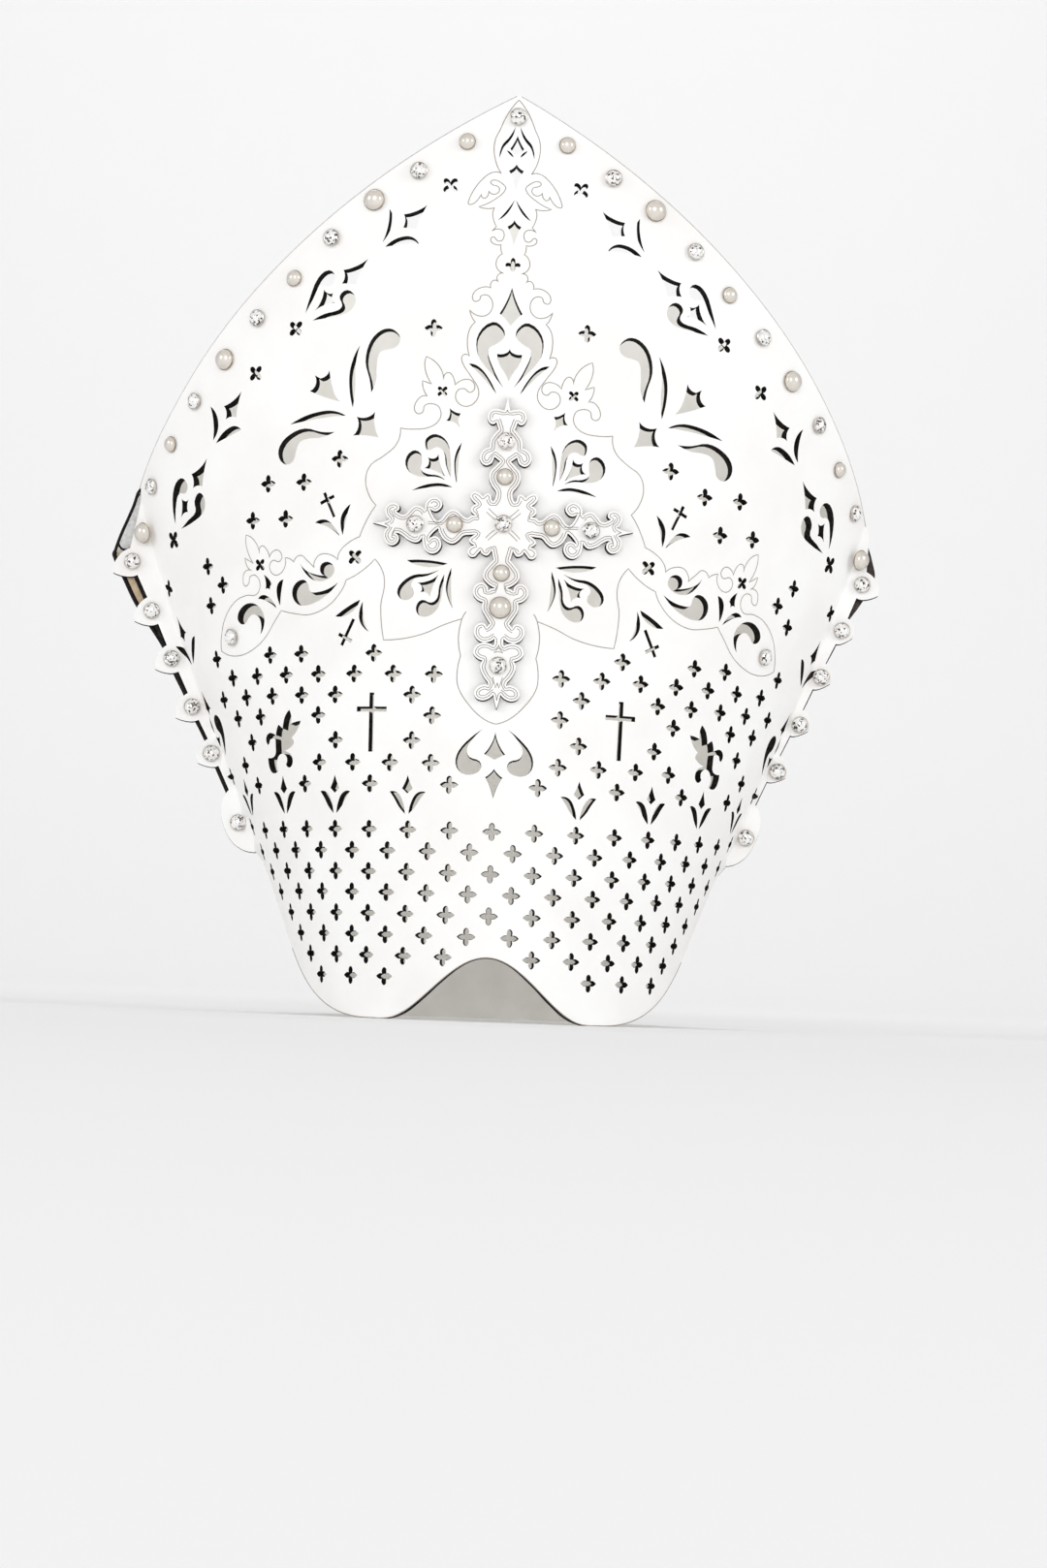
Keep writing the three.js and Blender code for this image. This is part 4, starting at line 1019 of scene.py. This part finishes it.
def skin_frame(across, height, out):
    """Placement on the front at a standoff: X along the wall, Y up, Z outward."""
    side = (skin(across + 1, height, -out) - skin(across - 1, height, -out)).normalized()
    rise = skin(across, height + 1, -out) - skin(across, height - 1, -out)
    normal = side.cross(rise).normalized()
    up = normal.cross(side)
    return Matrix.Translation(skin(across, height, -out)) @ Matrix((side, up, normal)).transposed().to_4x4()


def plate_frame(hand, height, out, droop):
    """Placement on an ear, square to the seam plane."""
    across, at = seam_point(height, out, 0, droop)
    place = Vector((hand * across, CENTRE_SHIFT - GAP / 2 - LEATHER, at)) * MM
    return Matrix.Translation(place) @ Matrix.Rotation(math.pi / 2, 4, "X")


def fold_frame(hand):
    """Placement across the fold, between forward and outward."""
    height, out, forward, tilt = FOLD_PEARL
    foot, away, rise = (Vector(seam_point(height, *step)) for step in ((0,), (1,), (0, 1)))
    foot, away, rise = (Vector((hand * p.x, 0, p.y)) for p in (foot, away, rise))
    away, rise = away - foot, rise - foot
    normal = Vector((away.x * math.sin(tilt), -math.cos(tilt), away.z * math.sin(tilt)))
    at = foot + away * out
    at.y = CENTRE_SHIFT - GAP / 2 - LEATHER - forward
    side = rise.cross(normal)
    return Matrix.Translation(at * MM) @ Matrix((side, rise, normal)).transposed().to_4x4()


def lathe(bm, profile, steps, material):
    """A turned solid on Z from a profile of (radius, height) in millimetres."""
    verts = [bm.verts.new((r, 0, h)) for r, h in profile]
    edges = [bm.edges.new(pair) for pair in zip(verts, verts[1:])]
    before = set(bm.faces)
    bmesh.ops.spin(bm, geom=verts + edges, cent=(0, 0, 0), axis=(0, 0, 1), angle=math.tau, steps=steps,
                   use_merge=True, use_duplicate=False)
    made = [f for f in bm.faces if f not in before]
    bmesh.ops.remove_doubles(bm, verts=list({v for f in made for v in f.verts}), dist=1e-4)
    made = [f for f in bm.faces if f not in before]
    bmesh.ops.recalc_face_normals(bm, faces=made)
    for face in made:
        face.material_index = material
        face.smooth = True


def pearl_stud(bm, radius, height):
    """A half pearl on a short straight foot, in a round wire collar."""
    foot, reach = 0.5, radius * 0.96
    dome = [(reach * math.cos(a), foot + (height - foot) * math.sin(a)) for a in
            (math.pi / 2 * k / 9 for k in range(9))]
    lathe(bm, [(0, 0), (reach, 0)] + dome + [(0, height)], 32, 0)
    middle, level, wire = radius * COLLAR[0], COLLAR[1], COLLAR[2]
    section = [(middle + wire * math.cos(a), level + wire * math.sin(a)) for a in
               (math.tau * k / 8 for k in range(8))]
    lathe(bm, section + section[:1], 28, 1)


def crystal_stud(bm, radius, height):
    """A round brilliant: eight-sided table, star and kite facets, in a thin cup with a turned-in lip."""
    corners = []
    for count, reach, level, twist in BRILLIANT:
        for angle in (math.tau * (k + twist) / count for k in range(count)):
            out = radius * reach
            corners.append(bm.verts.new((out * math.cos(angle), out * math.sin(angle), height * level)))
    bmesh.ops.convex_hull(bm, input=corners)
    for face in bm.faces:
        face.smooth = False
    girdle = height * BRILLIANT[2][2]
    cup = [(0, 0), (radius * 0.92, 0), (radius, girdle * 0.9), (radius * 0.9, girdle * 1.12),
           (radius * 0.84, girdle)]
    lathe(bm, cup, 24, 1)


def stud(name, kind, placement):
    """A stud for one CAD node: its stone or pearl and its setting, just clear of the leather."""
    bm = bmesh.new()
    radius, height = STUDS[kind]
    if kind == "crystal":
        crystal_stud(bm, radius, height)
        # A random value for each facet, which the crystal's material uses to paint it white or dark as a
        # reflection.
        shade = bm.faces.layers.float.new("facet")      # read by the crystal's material
        for face in bm.faces:
            face[shade] = random.random()
    else:
        pearl_stud(bm, radius, height)
    bmesh.ops.rotate(bm, verts=bm.verts, matrix=Matrix.Rotation(random.uniform(0, math.tau), 3, "Z"))
    bmesh.ops.transform(bm, verts=bm.verts, matrix=placement @ Matrix.Translation((0, 0, GAP * MM))
                        @ Matrix.Diagonal((MM, MM, MM, 1)))
    piece = finish_mesh(name + "_set", bm, [CRYSTAL, METAL] if kind == "crystal" else [PEARL, BRASS])
    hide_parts(name)


# Studs along the upper edges, from the apex down: kind, place across and height
EDGE_STUDS = [("small_pearl", 21, 368), ("crystal", 41, 355.5), ("large_pearl", 60, 343.5),
              ("crystal", 78.5, 328), ("small_pearl", 95.5, 311.5), ("crystal", 113, 295.5),
              ("large_pearl", 130, 279), ("crystal", 147.5, 262.5), ("small_pearl", 164, 245.5),
              ("crystal", 181, 229)]
# Studs of the cross: name, kind, and place from its centre
CROSS_STUDS = [("crystal_cross_top", "crystal", 0, 35.2), ("crystal_cross_centre", "crystal", 0, 0.6),
               ("crystal_cross_left", "crystal", -36.3, -0.4), ("crystal_cross_right", "crystal", 36.3, -0.4),
               ("crystal_cross_bottom", "crystal", 0, -58.6), ("pearl_cross_top", "small_pearl", 0, 20.3),
               ("pearl_cross_left", "small_pearl", -20, -0.2), ("pearl_cross_right", "small_pearl", 20, -0.2),
               ("pearl_cross_lower", "small_pearl", 0, -20), ("pearl_cross_large", "large_pearl", 0, -34.4)]

stud("crystal_apex", "crystal", skin_frame(0, APEX_STUD, 0))
for name, kind, across, up in CROSS_STUDS:
    stud(name, kind, skin_frame(across, CROSS_CENTRE + up, CROSS_FACE))
for side_name, hand in (("left", -1), ("right", 1)):
    for place, (kind, across, height) in enumerate(EDGE_STUDS, 1):
        stud(f"{kind}_edge_{side_name}_{place}", kind, skin_frame(hand * across, height, 0))
    stud(f"large_pearl_edge_{side_name}_11", "large_pearl", fold_frame(hand))
    stud(f"crystal_wing_{side_name}", "crystal", skin_frame(hand * WING_STUD[0], WING_STUD[1], 0))
    for place, (_, droop, *sides) in enumerate(EARS, 1):
        height, out, _ = sides[hand > 0]
        stud(f"crystal_ear_{side_name}_{place}", "crystal", plate_frame(hand, height, out, droop))

# ------------------------------------------------------------------ floor, light and camera
PAPER = ("#FAFAFA", "#FAFAFA", "#FBFBFB", "#FBFBFB", "#FBFBFB")    # from the floor up


def pale_floor():
    """Matt studio paper: a seamless sheet that runs up behind the object, paler as it rises."""
    material, tree, shader = new_material("studio_paper", Roughness=1, Specular_IOR_Level=0)
    place = add_node(tree, "ShaderNodeTexCoord")
    height = add_node(tree, "ShaderNodeSeparateXYZ", {"Vector": (place, "Object")})
    share = add_node(tree, "ShaderNodeMapRange", {"Value": (height, "Z")}, in_From_Max=1.6)
    tint = ramp(tree, share, "Result", PAPER[0], PAPER[-1], (0, 1))
    for position, code in zip((0.1, 0.3, 0.6), PAPER[1:-1]):
        tint.color_ramp.elements.new(position).color = colour(code)
    tree.links.new(tint.outputs["Color"], shader.inputs["Base Color"])
    bm = bmesh.new()
    near, far, rise, turn, width = -6.0, 3.0, 5.0, 1.5, 14.0
    profile = [(near, 0), (far, 0)]
    for angle in (math.pi / 2 * k / 16 for k in range(1, 17)):
        profile.append((far + turn * math.sin(angle), turn * (1 - math.cos(angle))))
    profile.append((far + turn, rise))
    verts = [bm.verts.new((-width / 2, y, z)) for y, z in profile]
    edges = [bm.edges.new(pair) for pair in zip(verts, verts[1:])]
    swept = bmesh.ops.extrude_edge_only(bm, edges=edges)
    moved = [g for g in swept["geom"] if isinstance(g, bmesh.types.BMVert)]
    bmesh.ops.translate(bm, verts=moved, vec=(width, 0, 0))
    bmesh.ops.recalc_face_normals(bm, faces=bm.faces)
    for face in bm.faces:
        face.smooth = True
    mesh = bpy.data.meshes.new("floor")
    bm.to_mesh(mesh)
    bm.free()
    mesh.materials.append(material)
    link_object("floor", mesh)


pale_floor()


def area_light(name, place, target, size, power):
    light = bpy.data.lights.new(name, "AREA")
    light.shape = "DISK"
    light.size = size
    light.energy = power
    lamp = link_object(name, light)
    lamp.location = place
    lamp.rotation_euler = (Vector(target) - Vector(place)).to_track_quat("-Z", "Y").to_euler()


area_light("front", (-0.3, -3.6, 1.1), (0, 0, 0.2), size=2.2, power=33)
for hand, power in ((-1, 19), (1, 24)):
    area_light("side", (hand * 2.8, -1.7, 1.1), (0, 0, 0.2), size=1.6, power=power)
area_light("backdrop", (0, 1.4, 3.4), (0, 4.5, 1.0), size=2.6, power=34)
# A faint lamp between the panels lights the flesh side that the cuts and the opening show
area_light("inside", (0, -0.04, 0.17), (0, 0.1, 0.2), size=0.12, power=0.055)

world = bpy.data.worlds.new("studio")
world.use_nodes = True
sky = world.node_tree.nodes["Background"]
sky.inputs["Color"].default_value = (1, 1, 1, 1)
sky.inputs["Strength"].default_value = 0.572
bpy.context.scene.world = world
bpy.context.scene.view_settings.view_transform = "Standard"

# Low view from 1.4 m: the angles by which the object leans, turns and tips in it, where the lens is
# from the front of the rim in the camera's own axes, and the lens for a 36 mm high film
LEAN, YAW, ROLL = math.radians(3.44), math.radians(0.59), math.radians(2.15)
CAMERA_PLACE = (15.99, -1400, 96.46)
RIM_FRONT = (0, -91.85, 2)
FILM_HEIGHT = 36
FOCAL_LENGTH = 77.87392


def camera_frame():
    """Rotation from the object's axes to the camera's level axes."""
    c, s = math.cos(LEAN), math.sin(LEAN)
    lean = Matrix(((1, 0, 0), (0, c, s), (0, -s, c)))
    c, s = math.cos(ROLL), math.sin(ROLL)
    roll = Matrix(((c, 0, s), (0, 1, 0), (-s, 0, c)))
    c, s = math.cos(YAW), math.sin(YAW)
    yaw = Matrix(((c, -s, 0), (s, c, 0), (0, 0, 1)))
    return yaw @ roll @ lean


camera_data = bpy.data.cameras.new("camera")
camera_data.sensor_fit = "VERTICAL"
camera_data.sensor_height = FILM_HEIGHT
camera_data.lens = FOCAL_LENGTH
camera_data.clip_start = 0.01
camera = link_object("camera", camera_data)
axes = camera_frame().transposed()
place = (axes @ Vector(CAMERA_PLACE) + Vector(RIM_FRONT)) * MM
right, forward, up = axes.col[0], axes.col[1], axes.col[2]
camera.matrix_world = Matrix.Translation(place) @ Matrix((right, up, -forward)).transposed().to_4x4()
bpy.context.scene.camera = camera
